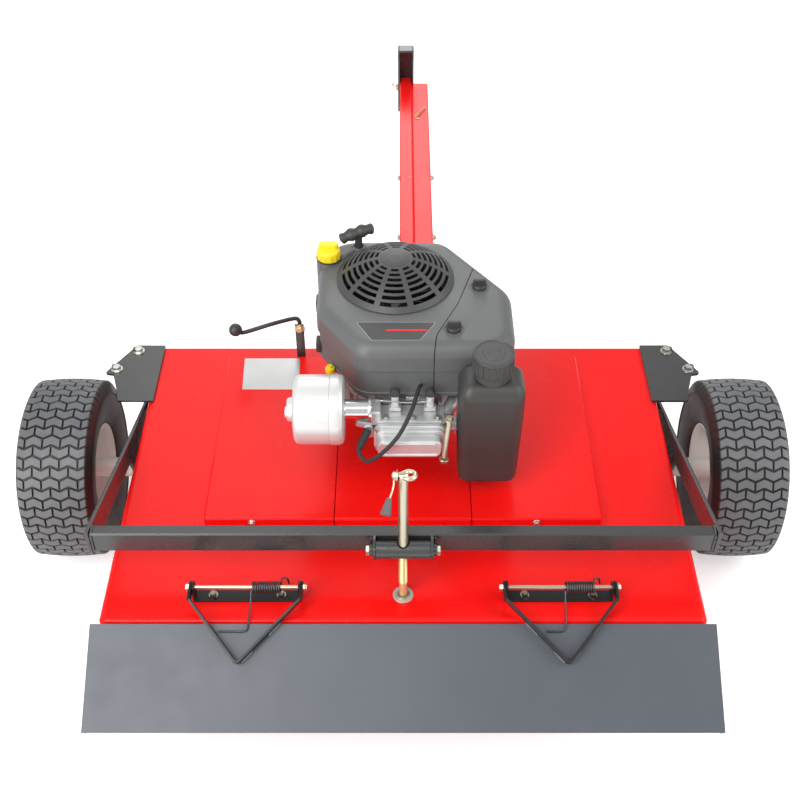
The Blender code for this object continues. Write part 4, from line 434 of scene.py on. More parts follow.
def rounded(corners, count=8):
    """A closed outline from (x, y, radius) corners, each rounded by its own arc."""
    outline = []
    total = len(corners)
    for i, (x, y, radius) in enumerate(corners):
        here = Vector((x, y))
        if radius <= 0.0:
            outline.append((x, y))
            continue
        before = (Vector(corners[i - 1][:2]) - here).normalized()
        after = (Vector(corners[(i + 1) % total][:2]) - here).normalized()
        half = before.angle(after) / 2
        reach = radius / math.tan(half)
        middle = here + (before + after).normalized() * radius / math.sin(half)
        first = here + before * reach - middle
        last = here + after * reach - middle
        start = math.atan2(first.y, first.x)
        sweep = (math.atan2(last.y, last.x) - start + math.pi) % TURN - math.pi
        outline += arc(middle, radius, math.degrees(start), math.degrees(start + sweep), count)
    return outline


def slab_outline(width, depth, radius, x=0.0, y=0.0, count=6):
    """A rounded rectangle about a place."""
    w, d = width / 2, depth / 2
    return rounded([
        (x - w, y - d, radius), (x + w, y - d, radius), (x + w, y + d, radius),
        (x - w, y + d, radius),
    ], count)


def block(bm, size, centre, turn=None, edge=0.001, segments=2):
    """A box with rounded edges."""
    other = bmesh.new()
    bmesh.ops.create_cube(other, size=1.0, matrix=Matrix.Diagonal((*size, 1.0)))
    bmesh.ops.bevel(other, geom=other.edges[:], offset=edge, segments=segments, profile=0.5, affect="EDGES")
    place = Matrix.Translation(centre)
    if turn is not None:
        place = place @ turn
    other.transform(place)
    merge(bm, other)


def swept(bm, points, radius, sides=10, flat=1.0, up=None):
    """A tube along the points, with closed ends. The radius may be a list, and flat squashes it."""
    points = [Vector(p) for p in points]
    radii = radius if hasattr(radius, "__len__") else [radius] * len(points)
    tangent = (points[1] - points[0]).normalized()
    side = Vector(up).cross(tangent).normalized() if up else tangent.orthogonal().normalized()
    rings = []
    for i, p in enumerate(points):
        ahead = points[min(i + 1, len(points) - 1)] - points[max(i - 1, 0)]
        turn = tangent.rotation_difference(ahead.normalized())
        side = (turn @ side).normalized()
        tangent = ahead.normalized()
        other = tangent.cross(side)
        rings.append([
            bm.verts.new(p + radii[i] * (math.cos(a) * side + flat * math.sin(a) * other))
            for a in (TURN * k / sides for k in range(sides))
        ])
    for low, high in zip(rings, rings[1:]):
        joined(bm, low, high)
    capped(bm, rings)


def tube(name, look, body, points, radius, sides, **more):
    """A piece that is one swept tube."""
    bm = bmesh.new()
    swept(bm, points, radius, sides)
    return finished(bm, name, look, body, **more)


def bolts(name, look, body, places, direction, radius, height):
    """Hexagon heads of one kind, as one piece."""
    bm = bmesh.new()
    for place in places:
        hex_head(bm, place, direction, radius, height)
    finished(bm, name, look, body)


def around(centre, radius, angle, lift=0.0):
    """A place on a level circle, lifted from its centre."""
    return Vector(centre) + Vector((radius * math.cos(angle), radius * math.sin(angle), lift))


def quarter(steps):
    """Angles from zero to a right angle."""
    return [math.pi / 2 * i / steps for i in range(steps + 1)]


def thickened(bm, name, thickness):
    """An object from an open sheet that faces up, with its wall added below."""
    bmesh.ops.recalc_face_normals(bm, faces=bm.faces)
    if sum(f.normal.z * f.calc_area() for f in bm.faces) < 0:
        bmesh.ops.reverse_faces(bm, faces=bm.faces)
    obj = object_of(bm, name)
    wall = obj.modifiers.new("wall", "SOLIDIFY")
    wall.thickness = thickness
    wall.offset = -1.0
    applied(obj)
    return obj


def smooth_path(points, spacing):
    """Evenly spaced points on a smooth curve through the points given."""
    knots = [Vector(p) for p in points]
    knots = [2 * knots[0] - knots[1], *knots, 2 * knots[-1] - knots[-2]]
    fine = []
    for a, b, c, d in zip(knots, knots[1:], knots[2:], knots[3:]):
        for t in np.linspace(0.0, 1.0, 24, endpoint=False):
            square = (2 * a - 5 * b + 4 * c - d) * t**2
            cube = (3 * b - a - 3 * c + d) * t**3
            fine.append(0.5 * (2 * b + (c - a) * t + square + cube))
    fine.append(knots[-2])
    run = [0.0]
    for a, b in zip(fine, fine[1:]):
        run.append(run[-1] + (b - a).length)
    count = max(3, round(run[-1] / spacing))
    wanted = np.linspace(0.0, run[-1], count + 1)
    axes = [np.interp(wanted, run, [p[i] for p in fine]) for i in range(3)]
    return [Vector(p) for p in zip(*axes)]


def boolean(obj, other, operation):
    """Cuts or joins one mesh object with another at once, and removes the other."""
    step = obj.modifiers.new("boolean", "BOOLEAN")
    step.operation = operation
    step.solver = "EXACT"
    step.object = other
    applied(obj)
    bpy.data.objects.remove(other, do_unlink=True)


def applied(obj):
    """Makes the object's modifiers part of its mesh."""
    bpy.context.view_layer.update()
    shape = obj.evaluated_get(bpy.context.evaluated_depsgraph_get())
    mesh = bpy.data.meshes.new_from_object(shape)
    obj.modifiers.clear()
    old = obj.data
    obj.data = mesh
    mesh.name = old.name
    bpy.data.meshes.remove(old)


# Wheels

TYRE_RADIUS = 0.203
TREAD_EDGE = 0.0705
TREAD_DROP = 0.005
CROWN_DROP = 0.0045
TREAD_ROWS = 56
BLOCK_PITCH = 0.0385
ROW_SWING = 0.0044
GROOVE = 0.0046
RIM_SIDES = 64
# Colour of the shade painted on the tyres' walls and in the bottoms of their grooves.
TYRE_PAINTED_SHADE_COLOUR = (0.015, 0.013, 0.012)


def tread_columns():
    """Places across the tread, each with the parity of the rows that its groove cuts, or None."""
    columns = [(-TREAD_EDGE, None)]
    step = BLOCK_PITCH / 2
    for j in range(-3, 4):
        for offset, parity in (
            (-GROOVE / 2, None), (-GROOVE / 3, j % 2), (GROOVE / 3, j % 2), (GROOVE / 2, None),
        ):
            columns.append((j * step + offset, parity))
    columns.append((TREAD_EDGE, None))
    return columns


def build_tyre(side, word):
    """A turf tyre: rows of zigzag blocks, ribbed shoulders and a plain sidewall."""
    centre = middle_of(f"tyre_{word}")
    columns = tread_columns()
    half = 0.0825
    wall = [
        (0.074, 0.193, True), (0.0765, 0.188, True), (0.08, 0.18, False), (half, 0.173, False),
        (half + 0.0002, 0.1705, False), (half - 0.0018, 0.169, False), (half - 0.0012, 0.16, False),
        (half - 0.002, 0.145, False), (half - 0.0045, 0.129, False), (half - 0.008, 0.1165, False),
        (half - 0.0105, 0.111, False), (half - 0.01, 0.1095, False), (half - 0.0125, 0.104, False),
        (0.0665, 0.1015, False), (0.064, 0.0995, False), (0.0645, 0.0935, False),
    ]
    pitch = TURN / TREAD_ROWS
    share = GROOVE / (TYRE_RADIUS * pitch)
    bm = bmesh.new()
    place = Matrix.Translation(centre) @ frame_along((side, 0.0, 0.0))
    rings = []
    for row in range(TREAD_ROWS):
        for start, low in (
            (0.0, True), (share * 0.66, True), (share, False), (1.0 - share * 0.34, False),
        ):
            ring = []
            for across, radius, notched in reversed(wall):
                ring.append((radius - (TREAD_DROP * 0.6 if low and notched else 0.0), -across, row + start))
            for across, parity in columns:
                crown = TYRE_RADIUS - CROWN_DROP * (across / TREAD_EDGE) ** 2
                cut = low or (parity is not None and parity == row % 2)
                wave = abs((across / BLOCK_PITCH % 1.0) - 0.5) * 4.0 - 1.0
                lead = ROW_SWING * wave / (TYRE_RADIUS * pitch)
                ring.append((crown - (TREAD_DROP if cut else 0.0), across, row + start + lead))
            for across, radius, notched in wall:
                ring.append((radius - (TREAD_DROP * 0.6 if low and notched else 0.0), across, row + start))
            rings.append([
                bm.verts.new(place @ Vector((r * math.cos(pitch * t), r * math.sin(pitch * t), z)))
                for r, z, t in ring
            ])
    for ring, after in zip(rings, rings[1:] + rings[:1]):
        joined(bm, ring, after)
    tyre = finished(bm, f"tyre_{word}_tread", "tyre_rubber", f"wheel_{word}", smooth=32.0)
    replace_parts(tyre, f"tyre_{word}")


def paint_tyre_shade():
    """Painted shade: darkens the tyres' walls and the bottoms of the grooves, by their depth below the tread.
    """
    mat = LOOKS["tyre_rubber"]
    nodes, links = tree(mat)
    centre = DECK @ middle_of("tyre_right")

    def result(operation, *values):
        node = nodes.new("ShaderNodeMath")
        node.operation = operation
        for socket, value in zip(node.inputs, values):
            if isinstance(value, float):
                socket.default_value = value
            else:
                links.new(value, socket)
        return node.outputs["Value"]

    split = nodes.new("ShaderNodeSeparateXYZ")
    links.new(nodes.new("ShaderNodeTexCoord").outputs["Object"], split.inputs["Vector"])
    x, y, z = split.outputs
    across = result("SUBTRACT", result("ABSOLUTE", x), centre.x)
    rear, up = result("SUBTRACT", y, centre.y), result("SUBTRACT", z, centre.z)
    radius = result("SQRT", result("ADD", result("MULTIPLY", rear, rear), result("MULTIPLY", up, up)))
    bow = result("MULTIPLY", result("MULTIPLY", across, across), CROWN_DROP / TREAD_EDGE ** 2)
    depth = result("SUBTRACT", TYRE_RADIUS, result("ADD", radius, bow))
    # Painted shade: the deeper a point lies below the tread, the darker it is painted.
    dark = spread(mat, depth, 0.0, 1.0, 0.2 * TREAD_DROP, 0.8 * TREAD_DROP)
    base = nodes["Principled BSDF"].inputs["Base Color"]
    links.new(blend_colours(mat, dark, base.links[0].from_socket, TYRE_PAINTED_SHADE_COLOUR), base)


def build_axle_sleeve(side, word):
    """The painted sleeve on the axle between the side arm and the wheel's hub."""
    centre = middle_of(f"rim_{word}")
    inner = 0.0062 + 0.6005
    outer = centre.x * side - 0.0503
    start = (side * inner, centre.y, centre.z)
    turned(f"axle_sleeve_{word}", "cream_rim_paint", "axle_frame", start, (side, 0, 0), [
        (0.0132, 0), (0.0205, 0), (0.0215, 0.001), (0.0215, outer - inner - 0.001),
        (0.0205, outer - inner), (0.0132, outer - inner),
    ], 40, True)


def build_rim(side, word):
    """A pressed steel rim: flanged edges, a dished disc with its hub tube, and a valve."""
    centre = middle_of(f"rim_{word}")
    out = (side, 0.0, 0.0)
    barrel = 0.0925
    profile = [
        (0.0131, 0.05), (0.0235, 0.05), (0.024, 0.049), (0.024, 0.03), (0.0275, 0.0265),
        (0.033, 0.0262), (0.044, 0.0225), (0.06, 0.0145), (0.07, 0.0125), (0.078, 0.015),
        (0.0865, 0.019), (0.0893, 0.023), (0.0893, 0.056), (0.0905, 0.062), (0.096, 0.0672),
        (0.0985, 0.0683), (0.1002, 0.0676), (0.0995, 0.0662), (0.096, 0.0655), (0.0927, 0.061),
        (barrel, 0.056), (barrel, 0.03), (0.088, 0.022), (0.088, -0.02), (barrel, -0.029),
        (barrel, -0.056), (0.0927, -0.061), (0.096, -0.0655), (0.0995, -0.0662), (0.1002, -0.0676),
        (0.0985, -0.0683), (0.096, -0.0672), (0.0905, -0.062), (0.0893, -0.056), (0.0893, -0.031),
        (0.085, -0.021), (0.085, 0.013), (0.078, 0.0118), (0.07, 0.0095), (0.06, 0.0112),
        (0.044, 0.0195), (0.033, 0.0232), (0.024, 0.021), (0.024, -0.049), (0.0235, -0.05),
        (0.0131, -0.05),
    ]
    rim = turned(
        f"rim_{word}_form", "cream_rim_paint", f"wheel_{word}", centre, out, profile, RIM_SIDES, True,
        smooth=38.0)
    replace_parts(rim, f"rim_{word}")

    bm = bmesh.new()
    hub_face = centre + Vector(out) * -0.05
    lathe(bm, hub_face, (-side, 0, 0), [
        (0.0131, 0.0), (0.0195, 0.0), (0.0195, 0.0012), (0.0131, 0.0012),
    ], 28, True)
    stem = centre + Vector((0.0, 0.062, 0.036)) + Vector(out) * 0.012
    lathe(bm, stem, out, [
        (0, 0), (0.0085, 0), (0.0085, 0.003), (0.0048, 0.006), (0.0042, 0.02), (0, 0.02),
    ], 18)
    lathe(bm, stem + Vector(out) * 0.0205, out, [
        (0, 0), (0.004, 0), (0.004, 0.008), (0.0032, 0.009), (0, 0.009),
    ], 14)
    finished(bm, f"valve_{word}", "tank_plastic", f"wheel_{word}")


# Hinges and springs

HINGE_X = 0.302
HINGE_Y = 0.06
HINGE_Z = 0.03
SPRING_WIRE = 0.0019
SPRING_RADIUS = 0.0102
SPRING_TURNS = 12.5
SPRING_PITCH = 0.0045
CURL_STEPS = 24
FLAP_SLOPE = math.radians(29.0)
FLAP_GAP = 0.004
FLAP_WAY = Vector((0.0, -math.cos(FLAP_SLOPE), -math.sin(FLAP_SLOPE)))
FLAP_UP = Vector((0.0, -math.sin(FLAP_SLOPE), math.cos(FLAP_SLOPE)))
FLAP_EDGE = Vector((0.0, -FLAP_GAP, 0.0))


def build_spring(side, word):
    """The torsion spring on the hinge pin: hook, curls from a formula and the leg on the flap."""
    start = side * HINGE_X + 0.01
    length = SPRING_TURNS * SPRING_PITCH
    steps = round(CURL_STEPS * SPRING_TURNS)
    coil = []
    for i in range(steps + 1):
        angle = math.pi + TURN * i / CURL_STEPS
        y = HINGE_Y + SPRING_RADIUS * math.cos(angle)
        coil.append(Vector((start + length * i / steps, y, HINGE_Z + SPRING_RADIUS * math.sin(angle))))
    bend = FLAP_EDGE + FLAP_WAY * 0.012 + FLAP_UP * (SPRING_WIRE + 0.0016)
    tail_length = 0.049 - side * 0.009
    tail = smooth_path([
        (start - tail_length, bend.y - 0.002, bend.z - 0.001),
        (start - tail_length * 0.6, bend.y - 0.002, bend.z - 0.001),
        (start - 0.01, bend.y - 0.002, bend.z - 0.001),
        (start - 0.0035, bend.y + 0.006, bend.z + 0.0045),
        (start - 0.001, HINGE_Y - 0.03, HINGE_Z - 0.015),
        (start - 0.0004, HINGE_Y - SPRING_RADIUS - 0.006, HINGE_Z - 0.006),
        coil[0],
    ], 0.0025)[:-1]
    end = start + length
    hook = smooth_path([
        coil[-1],
        (end + 0.001, HINGE_Y + SPRING_RADIUS + 0.002, HINGE_Z + 0.003),
        (end + 0.003, HINGE_Y + SPRING_RADIUS + 0.009, HINGE_Z + 0.004),
        (end + 0.011, HINGE_Y + SPRING_RADIUS + 0.01, HINGE_Z + 0.001),
        (end + 0.014, HINGE_Y + SPRING_RADIUS + 0.008, HINGE_Z - 0.012),
    ], 0.0025)[1:]
    spring = tube(f"flap_spring_{word}_coil", "spring_steel", None, tail + coil + hook, SPRING_WIRE, 10)
    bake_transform(spring)
    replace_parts(spring, f"flap_spring_{word}")


def weld_bead(bm, start, end, radius=0.0022, pitch=0.003):
    """A stitched weld along a joint: overlapping scales on one closed tube."""
    start, end = Vector(start), Vector(end)
    count = max(4, round((end - start).length / (pitch / 6)))
    points = [start.lerp(end, i / count) for i in range(count + 1)]
    radii = []
    for i, p in enumerate(points):
        run = (p - start).length / pitch
        taper = min(1.0, (i + 0.5) / 3, (count - i + 0.5) / 3)
        radii.append(radius * taper * (0.8 + 0.2 * abs(math.sin(math.pi * run))))
    swept(bm, points, radii, 10)


STRAP_RUN = 0.076
STRAP_SHEET = 0.005
STRAP_HEIGHT = 0.023
HINGE_REACH = 0.1068
KNEE_RUN = (HINGE_Y - 0.024 - FLAP_EDGE.y) / math.cos(FLAP_SLOPE)


def corner_rounded(points, reach, count=6):
    """A flat line through the points, with a short rounded turn at each inner one."""
    result = [Vector(points[0])]
    for before, here, after in zip(points, points[1:], points[2:]):
        a, b, c = Vector(before), Vector(here), Vector(after)
        near = min(reach, (a - b).length / 2, (c - b).length / 2)
        first, last = b + (a - b).normalized() * near, b + (c - b).normalized() * near
        result += [first.lerp(b, t).lerp(b.lerp(last, t), t) for t in np.linspace(0.0, 1.0, count)]
    result.append(Vector(points[-1]))
    return result


def bar_outline(line, half):
    """The closed outline of a flat bar of the given half width that follows a line."""
    left, right = [], []
    for i, here in enumerate(line):
        way = (line[min(i + 1, len(line) - 1)] - line[max(i - 1, 0)]).normalized()
        out = Vector((-way.y, way.x)) * half
        left.append(tuple(here + out))
        right.append(tuple(here - out))
    return right + left[::-1]


def build_strap(side, word):
    """The bent flat bar on edge: a V on the flap and an ear at each end, round the hinge pin."""
    centre = side * HINGE_X
    columns = [Vector((1.0, 0.0, 0.0)), -FLAP_WAY, FLAP_UP]
    place = Matrix([[c[i] for c in columns] for i in range(3)]).to_4x4()
    place.translation = FLAP_EDGE + FLAP_UP * GAP
    line = corner_rounded([
        (centre - HINGE_REACH, KNEE_RUN), (centre + side * 0.01, -STRAP_RUN),
        (centre + HINGE_REACH, KNEE_RUN),
    ], 0.009)
    bm = bmesh.new()
    prism(bm, bar_outline(line, STRAP_SHEET / 2), 0.0, STRAP_HEIGHT, place, 0.0009)
    knee = FLAP_EDGE - FLAP_WAY * KNEE_RUN + FLAP_UP * GAP
    top = knee + FLAP_UP * STRAP_HEIGHT
    outline = [(knee.y - 0.004, knee.z - 0.0022), (knee.y + 0.004, knee.z)]
    outline += [(p[0], p[1]) for p in arc((HINGE_Y, HINGE_Z), 0.0125, -80, 90, 12)]
    outline += [(top.y, top.z), (top.y - 0.004, top.z - 0.0022)]
    for end in (-1, 1):
        upright = Matrix((
            (0, 0, 1, centre + end * HINGE_REACH), (1, 0, 0, 0), (0, 1, 0, 0), (0, 0, 0, 1),
        ))
        prism(bm, outline, -STRAP_SHEET / 2, STRAP_SHEET / 2, upright, 0.0009)
    strap = finished(bm, f"flap_strap_{word}_bar", "strap_black", "flap")
    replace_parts(strap, f"flap_strap_{word}")


def build_hinge_details(side, word):
    """Weld beads along the strap, the bracket's bolts and the hinge pin with its heads."""
    centre = side * HINGE_X
    apex = Vector((centre + side * 0.01, -STRAP_RUN))
    bm = bmesh.new()

    def on_flap(x, run):
        return Vector((x, 0.0, 0.0)) + FLAP_EDGE - FLAP_WAY * run + FLAP_UP * 0.0012

    for end in (-1, 1):
        corner = Vector((centre + end * HINGE_REACH, KNEE_RUN))
        way = (apex - corner).normalized()
        out = Vector((way.y, -way.x)) * (0.0026 if end > 0 else -0.0026)
        if out.y > 0:
            out = -out
        run = (apex - corner).length
        for first, last in ((0.34, 0.54), (0.78, 0.96)):
            a = corner + way * run * first + out
            b = corner + way * run * last + out
            weld_bead(bm, on_flap(*a), on_flap(*b), 0.0032)
    finished(bm, f"strap_welds_{word}", "weld_steel", "flap")

    places = [(centre + dx, HINGE_Y + 0.001, 0.0043) for dx in (-0.066, 0.066)]
    bolts(f"hinge_bolts_{word}", "pale_zinc", "deck", places, UP, 0.0066, 0.0068)

    bm = bmesh.new()
    reach = HINGE_REACH + STRAP_SHEET / 2 + GAP
    for end in (-1, 1):
        place = (centre + end * (reach + 0.0001), HINGE_Y, HINGE_Z)
        hex_head(bm, place, (end, 0, 0), 0.0084, 0.007, washer=False)
    left, right = centre - reach - 0.0001, centre + reach + 0.0001
    rod(bm, (left, HINGE_Y, HINGE_Z), (right, HINGE_Y, HINGE_Z), 0.0042, 24)
    pin = finished(bm, f"hinge_pin_{word}_form", "pale_zinc", "deck")
    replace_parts(pin, f"hinge_pin_{word}")


# Lift screw and crossbar

SCREW_FOOT = Vector((0.0, 0.064, 0.0))
SCREW_WAY = Vector((0.0, 0.163008, 0.986625))
SCREW_RADIUS = 0.0085
THREAD_START = 0.034
THREAD_END = 0.128
THREAD_PITCH = 0.0022
SHANK_END = 0.296
CRANK_WIRE = 0.0046


def on_screw(x, y, along):
    """A place beside the lift screw: across, behind or before its axis, and along it."""
    side = Vector((1.0, 0.0, 0.0))
    return SCREW_FOOT + side * x + SCREW_WAY.cross(side) * y + SCREW_WAY * along


def build_lift_screw():
    """The threaded rod, with its paler shank and eye."""
    bm = bmesh.new()
    sides = 24
    turns = round((THREAD_END - THREAD_START) / THREAD_PITCH)
    place = Matrix.Translation(SCREW_FOOT) @ frame_along(SCREW_WAY)
    steps = turns * sides
    crest, root = [], []
    for i in range(steps + 1):
        a = TURN * i / sides
        rise = THREAD_START + THREAD_PITCH * i / sides
        for ring, radius, lift in (
            (root, SCREW_RADIUS - 0.0006, 0.0),
            (crest, SCREW_RADIUS + 0.0002, THREAD_PITCH / 2),
        ):
            point = Vector((radius * math.cos(a), radius * math.sin(a), rise + lift))
            ring.append(bm.verts.new(place @ point))
    for i in range(steps):
        bm.faces.new((root[i], root[i + 1], crest[i + 1], crest[i]))
        if i + sides < len(root) - 1:
            bm.faces.new((crest[i], crest[i + 1], root[i + sides + 1], root[i + sides]))
    ends = [e for e in bm.edges if e.is_boundary]
    bmesh.ops.holes_fill(bm, edges=ends, sides=0)
    foot = on_screw(0, 0, -0.018)
    rod(bm, foot, on_screw(0, 0, THREAD_START + THREAD_PITCH), SCREW_RADIUS - 0.0008, 24)
    thread = finished(bm, "lift_screw_thread", "zinc_plate", "screw_crank")

    bm = bmesh.new()
    bore = SCREW_RADIUS + 0.0012
    lathe(bm, on_screw(0, 0, THREAD_END - 0.004), SCREW_WAY, [
        (0, 0), (bore - 0.002, 0), (bore - 0.0006, 0.0016), (bore, 0.004),
        (bore, SHANK_END - THREAD_END), (bore - 0.0012, SHANK_END - THREAD_END + 0.0015),
        (0, SHANK_END - THREAD_END + 0.0015),
    ], 28)
    ring = 0.0112
    loop = [on_screw(-0.0115, 0.002, 0.2905)]
    loop += [
        on_screw(0.0108 + ring * math.cos(a), ring * math.sin(a), 0.293) for a in np.linspace(2.35, -2.55, 15)
    ]
    swept(bm, smooth_path(loop, 0.0025), CRANK_WIRE, 14)
    shank = finished(bm, "lift_screw_shank", "pale_zinc", "screw_crank")
    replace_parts(thread, "lift_screw")
    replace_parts(shank, "lift_screw")


def build_screw_grip():
    """The nut on the crank's eye, and the grip that hangs from it on a thin rod."""
    bm = bmesh.new()
    hex_head(bm, on_screw(-0.0102, 0.002, 0.2905), (-1, 0, 0), 0.0085, 0.0075)
    rod(bm, on_screw(-0.015, 0.002, 0.2905), on_screw(-0.021, 0.002, 0.2905), 0.004, 16)
    finished(bm, "eye_nut", "pale_zinc", "screw_crank")

    bm = bmesh.new()
    top = on_screw(-0.0165, 0.002, 0.286)
    low = Vector((-0.0266, 0.0765, 0.2575))
    swept(bm, smooth_path([top, on_screw(-0.0185, -0.01, 0.272), low], 0.004), 0.002, 10)
    finished(bm, "grip_rod", "pale_zinc", "screw_crank")
    bm = bmesh.new()
    way = (low - top).normalized()
    lathe(bm, low - way * 0.006, way, [
        (0, 0), (0.0042, 0), (0.0052, 0.001), (0.0064, 0.008), (0.0098, 0.0275), (0.01, 0.03),
        (0.0088, 0.0315), (0, 0.0315),
    ], 24)
    finished(bm, "grip_cone", "shroud_plastic", "screw_crank")


def build_screw_seat():
    """The washer and the swivel nut's seat on the deck, and the trunnion's bolt heads."""
    bm = bmesh.new()
    lathe(bm, (0, SCREW_FOOT.y, GAP), UP, [
        (0.0128, 0), (0.0196, 0), (0.02, 0.0004), (0.02, 0.0018), (0.0196, 0.0022), (0.0128, 0.0022),
    ], 40, True)
    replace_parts(finished(bm, "screw_washer_ring", "pale_plate", "deck"), "screw_washer")
    bm = bmesh.new()
    lathe(bm, (0, SCREW_FOOT.y, 0.0), UP, [
        (0.0096, -0.008), (0.0122, -0.008), (0.0122, 0.0022), (0.0136, 0.0024), (0.0138, 0.003),
        (0.013, 0.0046), (0.0112, 0.0052), (0.01, 0.0046), (0.0096, 0.003),
    ], 32, True)
    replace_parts(finished(bm, "swivel_nut_seat", "pale_zinc", "screw_swivel"), "swivel_nut")

    bm = bmesh.new()
    for end in (-1, 1):
        hex_head(bm, (end * 0.0647, 0.083, 0.115), (end, 0, 0), 0.0112, 0.0065, washer=False)
    finished(bm, "trunnion_bolts", "pale_zinc", "trunnion_tube")


def build_frame_details():
    """Weld beads on the crossbar and the arms, and the nuts on the wheel axles."""
    bm = bmesh.new()
    for end in (-1, 1):
        x = end * 0.0575
        weld_bead(bm, (x + end * 0.0032, 0.1032, 0.101), (x + end * 0.0032, 0.1032, 0.128))
        arm = end * 0.5925
        weld_bead(bm, (arm, 0.1032, 0.088), (arm, 0.1032, 0.13), 0.0026)
        weld_bead(bm, (arm, 0.106, 0.1345), (arm, 0.127, 0.1345), 0.0026)
    finished(bm, "frame_welds", "black_paint", "axle_frame")
    for side, word in ((-1, "left"), (1, "right")):
        bm = bmesh.new()
        low, high = span(f"side_arm_{word}")
        tip = high.x if side > 0 else low.x
        axle_y = middle_of(f"rim_{word}").y
        axle_z = middle_of(f"rim_{word}").z
        hex_head(bm, (tip + side * 0.0001, axle_y, axle_z), (side, 0, 0), 0.0165, 0.009)
        rod(bm, (tip + side * 0.009, axle_y, axle_z), (tip + side * 0.016, axle_y, axle_z), 0.008, 20, 0.0015)
        finished(bm, f"axle_nut_{word}", "bright_zinc", "axle_frame")


# Tow bar

TUBE_X = 0.0573
BAR_TOP = -0.0046
BOLT_ROWS = (1.3, 1.597)


def build_tow_details():
    """Cross bolts through both tubes, the hitch pin with its ring and wire, and a spare hairpin."""
    left, right = span("draw_bar")[0].x, span("tongue_tube")[1].x
    z = middle_of("tongue_tube").z
    bm = bmesh.new()
    for y in BOLT_ROWS:
        hex_head(bm, (left - 0.0001, y, z), (-1, 0, 0), 0.007, 0.0055)
        hex_head(bm, (right + 0.0001, y, z), (1, 0, 0), 0.0075, 0.0065)
        rod(bm, (right + 0.006, y, z), (right + 0.011, y, z), 0.0042, 16)
    finished(bm, "tow_bolts", "bright_zinc", "tow_bar")

    low, high = span("hitch_pin")
    y, z = (low.y + high.y) / 2, (low.z + high.z) / 2
    bm = bmesh.new()
    r = 0.0064
    lathe(bm, (low.x, y, z), (1, 0, 0), [
        (0, 0), (0.009, 0), (0.011, 0.0015), (0.011, 0.0058), (r, 0.006), (r, high.x - low.x - 0.004),
        (r - 0.002, high.x - low.x), (0, high.x - low.x),
    ], 24)
    ring = [around((low.x - 0.0035, y, z + 0.0095), 0.01, a) for a in np.linspace(0.2, TURN - 0.2, 15)]
    swept(bm, ring, 0.0013, 8)
    swept(bm, smooth_path([
        (low.x - 0.001, y, z + 0.002), (low.x - 0.007, y, z + 0.007),
        (low.x - 0.012, y + 0.001, z + 0.011),
    ], 0.002), 0.0013, 8)
    pin = finished(bm, "hitch_pin_form", "zinc_plate", "pin")
    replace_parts(pin, "hitch_pin")

    bm = bmesh.new()
    wire = smooth_path([
        (low.x + 0.001, 2.06, BAR_TOP - 0.012), (low.x - 0.004, 2.03, BAR_TOP - 0.006),
        (low.x - 0.005, 1.985, BAR_TOP - 0.009), (low.x + 0.0045, 1.95, BAR_TOP - 0.014),
    ], 0.004)
    swept(bm, wire, 0.0011, 8)
    finished(bm, "pin_wire", "zinc_plate", "tow_bar")

    bm = bmesh.new()
    top = BAR_TOP + 0.0019
    loop = []
    for x, y, lift in (
        (0.046, 1.9, 0.0), (0.05, 1.908, 0.0), (0.056, 1.923, 0.0), (0.0612, 1.936, 0.0),
        (0.066, 1.952, 0.0), (0.0688, 1.96, 0.001), (0.0712, 1.956, 0.0035), (0.068, 1.944, 0.004),
        (0.06, 1.933, 0.0042), (0.056, 1.92, 0.004), (0.047, 1.912, 0.003), (0.042, 1.903, 0.0),
        (0.044, 1.893, 0.0), (0.053, 1.89, 0.0),
    ):
        loop.append((x, y, top + lift))
    swept(bm, smooth_path(loop, 0.003), 0.0016, 8)
    finished(bm, "hairpin", "zinc_plate", "tow_bar")


# Deck

COVER_TOP = 0.045
PLATE_LIFT = 0.0004


def build_deck_details():
    """Bolts on the covers and the corner plates, weld beads and the blank data plate."""
    places = [(x, 0.2199, 0.034) for x in (-0.306, 0.27)]
    bolts("cover_bolts", "bright_zinc", "deck", places, (0, -1, 0), 0.0062, 0.005)

    bm = bmesh.new()
    for side, word in ((-1, "left"), (1, "right")):
        front = span(f"corner_plate_{word}")[1].y
        for x, y in ((0.629, front - 0.022), (0.67, front - 0.087)):
            hex_head(bm, (side * x, y, 0.0064), UP, 0.0098, 0.0082)
    finished(bm, "corner_bolts", "bright_zinc", "deck")

    bm = bmesh.new()
    plate = rounded([
        (-0.362, 0.606, 0.003), (-0.234, 0.606, 0.003), (-0.238, 0.712, 0.003),
        (-0.366, 0.712, 0.003),
    ], 5)
    prism(bm, plate, COVER_TOP, COVER_TOP + PLATE_LIFT)
    finished(bm, "data_plate", "plate_silver", "deck")

    bm = bmesh.new()
    for z in (-0.0575, 0.004):
        weld_bead(bm, (TUBE_X - 0.05, 0.8172, z), (TUBE_X + 0.05, 0.8172, z), 0.0024)
    finished(bm, "bracket_welds", "red_paint", "deck")

    bm = bmesh.new()
    y = span("tongue_bracket")[0].y + 0.0061
    for x in (-0.07, 0.07):
        for z in (-0.08, -0.005):
            hex_head(bm, (TUBE_X + x, y, z), (0, 1, 0), 0.0088, 0.007)
    low, high = span("tongue_bracket")
    pivot_y = high.y - 0.028
    hex_head(bm, (TUBE_X, pivot_y, high.z + 0.0001), UP, 0.014, 0.009)
    hex_head(bm, (TUBE_X, pivot_y, low.z - 0.0001), (0, 0, -1), 0.014, 0.009)
    finished(bm, "bracket_bolts", "bright_zinc", "deck")


# Clutch lever

LEVER = Vector((-0.236, 0.742, 0.14))
LEVER_RADIUS = 0.005
BALL_RADIUS = 0.015


